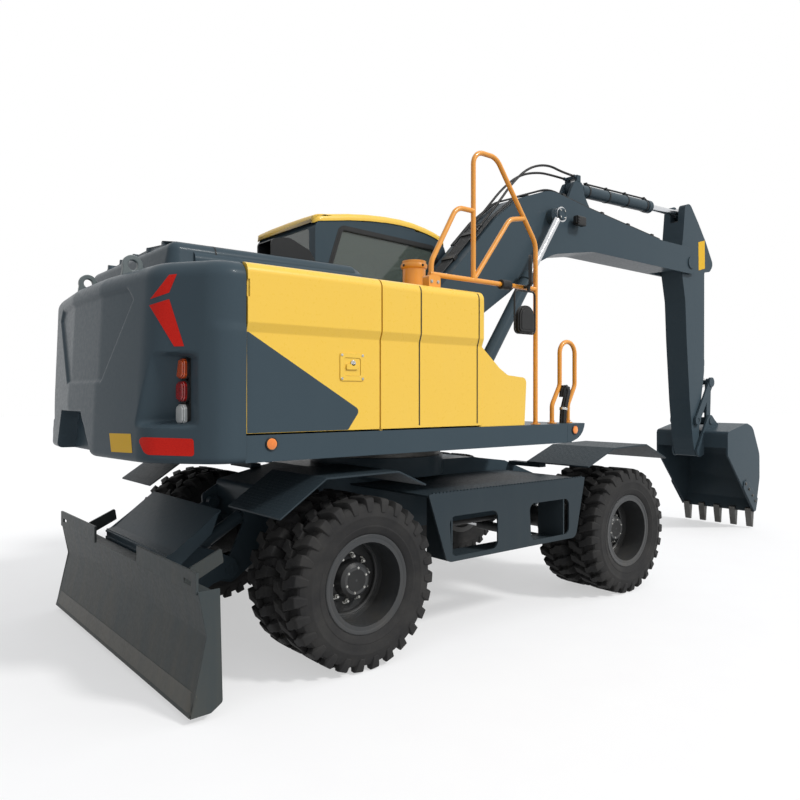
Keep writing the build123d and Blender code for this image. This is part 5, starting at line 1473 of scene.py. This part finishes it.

# Seal round the cab's right window

WINDOW = [
    (690, 2000, 46), (690, 2550, 46), (833, 2975, 46), (1837, 2940, 46), (2040, 2250, 46),
    (2040, 2000, 46),
]
seal = Shape()
loop(seal, across_y(247.5, WINDOW, -26), across_y(247.5, WINDOW, 16), (0, 0.0025, 0))
loop(seal, across_y(245, WINDOW, -8), across_y(245, WINDOW, 10), (0, 0.004, 0))
piece("window_seal_right", seal, "upper", PLASTIC, True)

# Reflectors on the side of the frame

reflectors = Shape()
reflector_rims = Shape()
FRAME_HALF = 1220
for side, x, y in (
    (-1, -630, -FRAME_HALF), (-1, 1948, NOSE_Y), (1, -630, FRAME_HALF), (1, 1948, FRAME_HALF),
):
    place = at(x, y, 1352)
    normal = Vector((0, side, 0))
    dome = [(0.003, 0.030), (0.008, 0.029), (0.011, 0.020), (0.012, 0.0001)]
    reflectors.turned(place, normal, dome, 40)
    rim = [(0.0, 0.036), (0.006, 0.036), (0.008, 0.033), (0.006, 0.0295)]
    reflector_rims.turned(place, normal, rim, 40)
piece("side_reflectors", reflectors, "upper", ORANGE, True)
piece("side_reflector_rims", reflector_rims, "upper", PLASTIC, True)

# Latch, lock and screws of the right door

latch_place, latch_normal = beside("right_engine_door", -109, 1771)
latch = Shape()
plate_rows = rectangle(-85, 85, -80, 80, 16)
well_rows = rectangle(-58, 58, -52, 52, 12)


def on_flank(place, u, v, out):
    """A point beside a place on the right flank, out from it, in millimetres."""
    return place + Vector((u / 1000, -out / 1000, v / 1000))


outer = [on_flank(latch_place, u, v, 1.0) for u, v in rounded(plate_rows)]
inner = [on_flank(latch_place, u, v, 1.0) for u, v in rounded(well_rows)]
loop(latch, outer, inner, (0, -0.004, 0))
floor_rows = [on_flank(latch_place, u, v, 0.6) for u, v in rounded(well_rows)]
latch.prism(floor_rows, (0, -0.001, 0))
lock = Shape()
for u, v in ((-72, -67), (72, -67), (72, 67), (-72, 67)):
    lock.bolt(on_flank(latch_place, u, v, 5.0), (0, -1, 0), 0.006, 0.004)
lever = [(-44, -16, 7), (30, -16, 7), (44, 0, 7), (30, 16, 7), (-44, 16, 7)]
latch.prism([on_flank(latch_place, u, v, 1.6) for u, v in rounded(lever)], (0, -0.009, 0))
barrel = [(0, 0.017), (0.007, 0.017), (0.009, 0.015), (0.009, 0.006), (0.006, 0.005), (0.006, 0.0001)]
lock.turned(on_flank(latch_place, 4, 22, 1.6), (0, -1, 0), barrel, 24)
piece("door_latch", latch, "right_door", YELLOW, False, 0.001)
piece("door_lock", lock, "right_door", NUT)

# Gaps between the side panels, drawn as strips of painted shade

gaps = Shape()
for x, node in ((400, "right_panels"), (906, "right_panels")):
    seam(gaps, flank_line(node, x, 1425, 2296, -1), 0.009, (0, -1, 0))
piece("panel_gaps", gaps, "upper", GAP_SHADE)

# Floor, backdrop, lights


def backdrop():
    """A white floor that the camera, glass and metal see as white, and that keeps the shadow."""
    made = Nodes("floor")
    grain = made.noise(3.0, 2.0)
    made.set(base=made.mix(grain, colour(176, 177, 178), colour(172, 172, 174)), rough=0.9, spec=0.1)
    made.shader.inputs["Emission Color"].default_value = (1, 1, 1, 1)
    glow = made.math("MULTIPLY", made.seen_directly(), 0.52)
    made.link(glow, made.shader.inputs["Emission Strength"])
    mesh = bpy.data.meshes.new("floor")
    size = 60
    corners = [(-size, -size, 0), (size, -size, 0), (size, size, 0), (-size, size, 0)]
    mesh.from_pydata(corners, [], [(0, 1, 2, 3)])
    mesh.materials.append(made.material)
    floor = bpy.data.objects.new("floor", mesh)
    bpy.context.scene.collection.objects.link(floor)


backdrop()


def studio():
    """A world bright to the front and right and dim behind, but seen as white."""
    world = bpy.data.worlds.new("studio")
    bpy.context.scene.world = world
    made = Nodes("studio", world)
    toward = made.tree.nodes.new("ShaderNodeVectorMath")
    toward.operation = "DOT_PRODUCT"
    toward.inputs[1].default_value = (0.50, -0.72, 0.48)
    made.link(made.place, toward.inputs[0])
    strength = made.tree.nodes.new("ShaderNodeMapRange")
    strength.interpolation_type = "SMOOTHSTEP"
    for key, value in (("From Min", -0.85), ("From Max", 0.95), ("To Min", 0.15), ("To Max", 1.0)):
        strength.inputs[key].default_value = value
    made.link(toward.outputs["Value"], strength.inputs["Value"])
    made.shader.inputs["Color"].default_value = (0.97, 0.98, 1.0, 1)
    made.link(strength.outputs["Result"], made.shader.inputs["Strength"])
    white = made.tree.nodes.new("ShaderNodeBackground")
    white.inputs["Color"].default_value = (1, 1, 1, 1)
    either = made.tree.nodes.new("ShaderNodeMixShader")
    made.link(made.seen_directly(), either.inputs[0])
    made.link(made.shader.outputs[0], either.inputs[1])
    made.link(white.outputs[0], either.inputs[2])
    made.link(either.outputs[0], made.tree.nodes["World Output"].inputs["Surface"])


studio()

sun_data = bpy.data.lights.new("key", "SUN")
sun_data.energy = 2.1
sun_data.angle = math.radians(9)
sun_data.color = (1.0, 0.985, 0.96)
sun = bpy.data.objects.new("key", sun_data)
sun.rotation_euler = Vector((-0.35, 0.75, -0.75)).to_track_quat("-Z", "Y").to_euler()
bpy.context.scene.collection.objects.link(sun)

bpy.context.scene.view_settings.view_transform = "Standard"
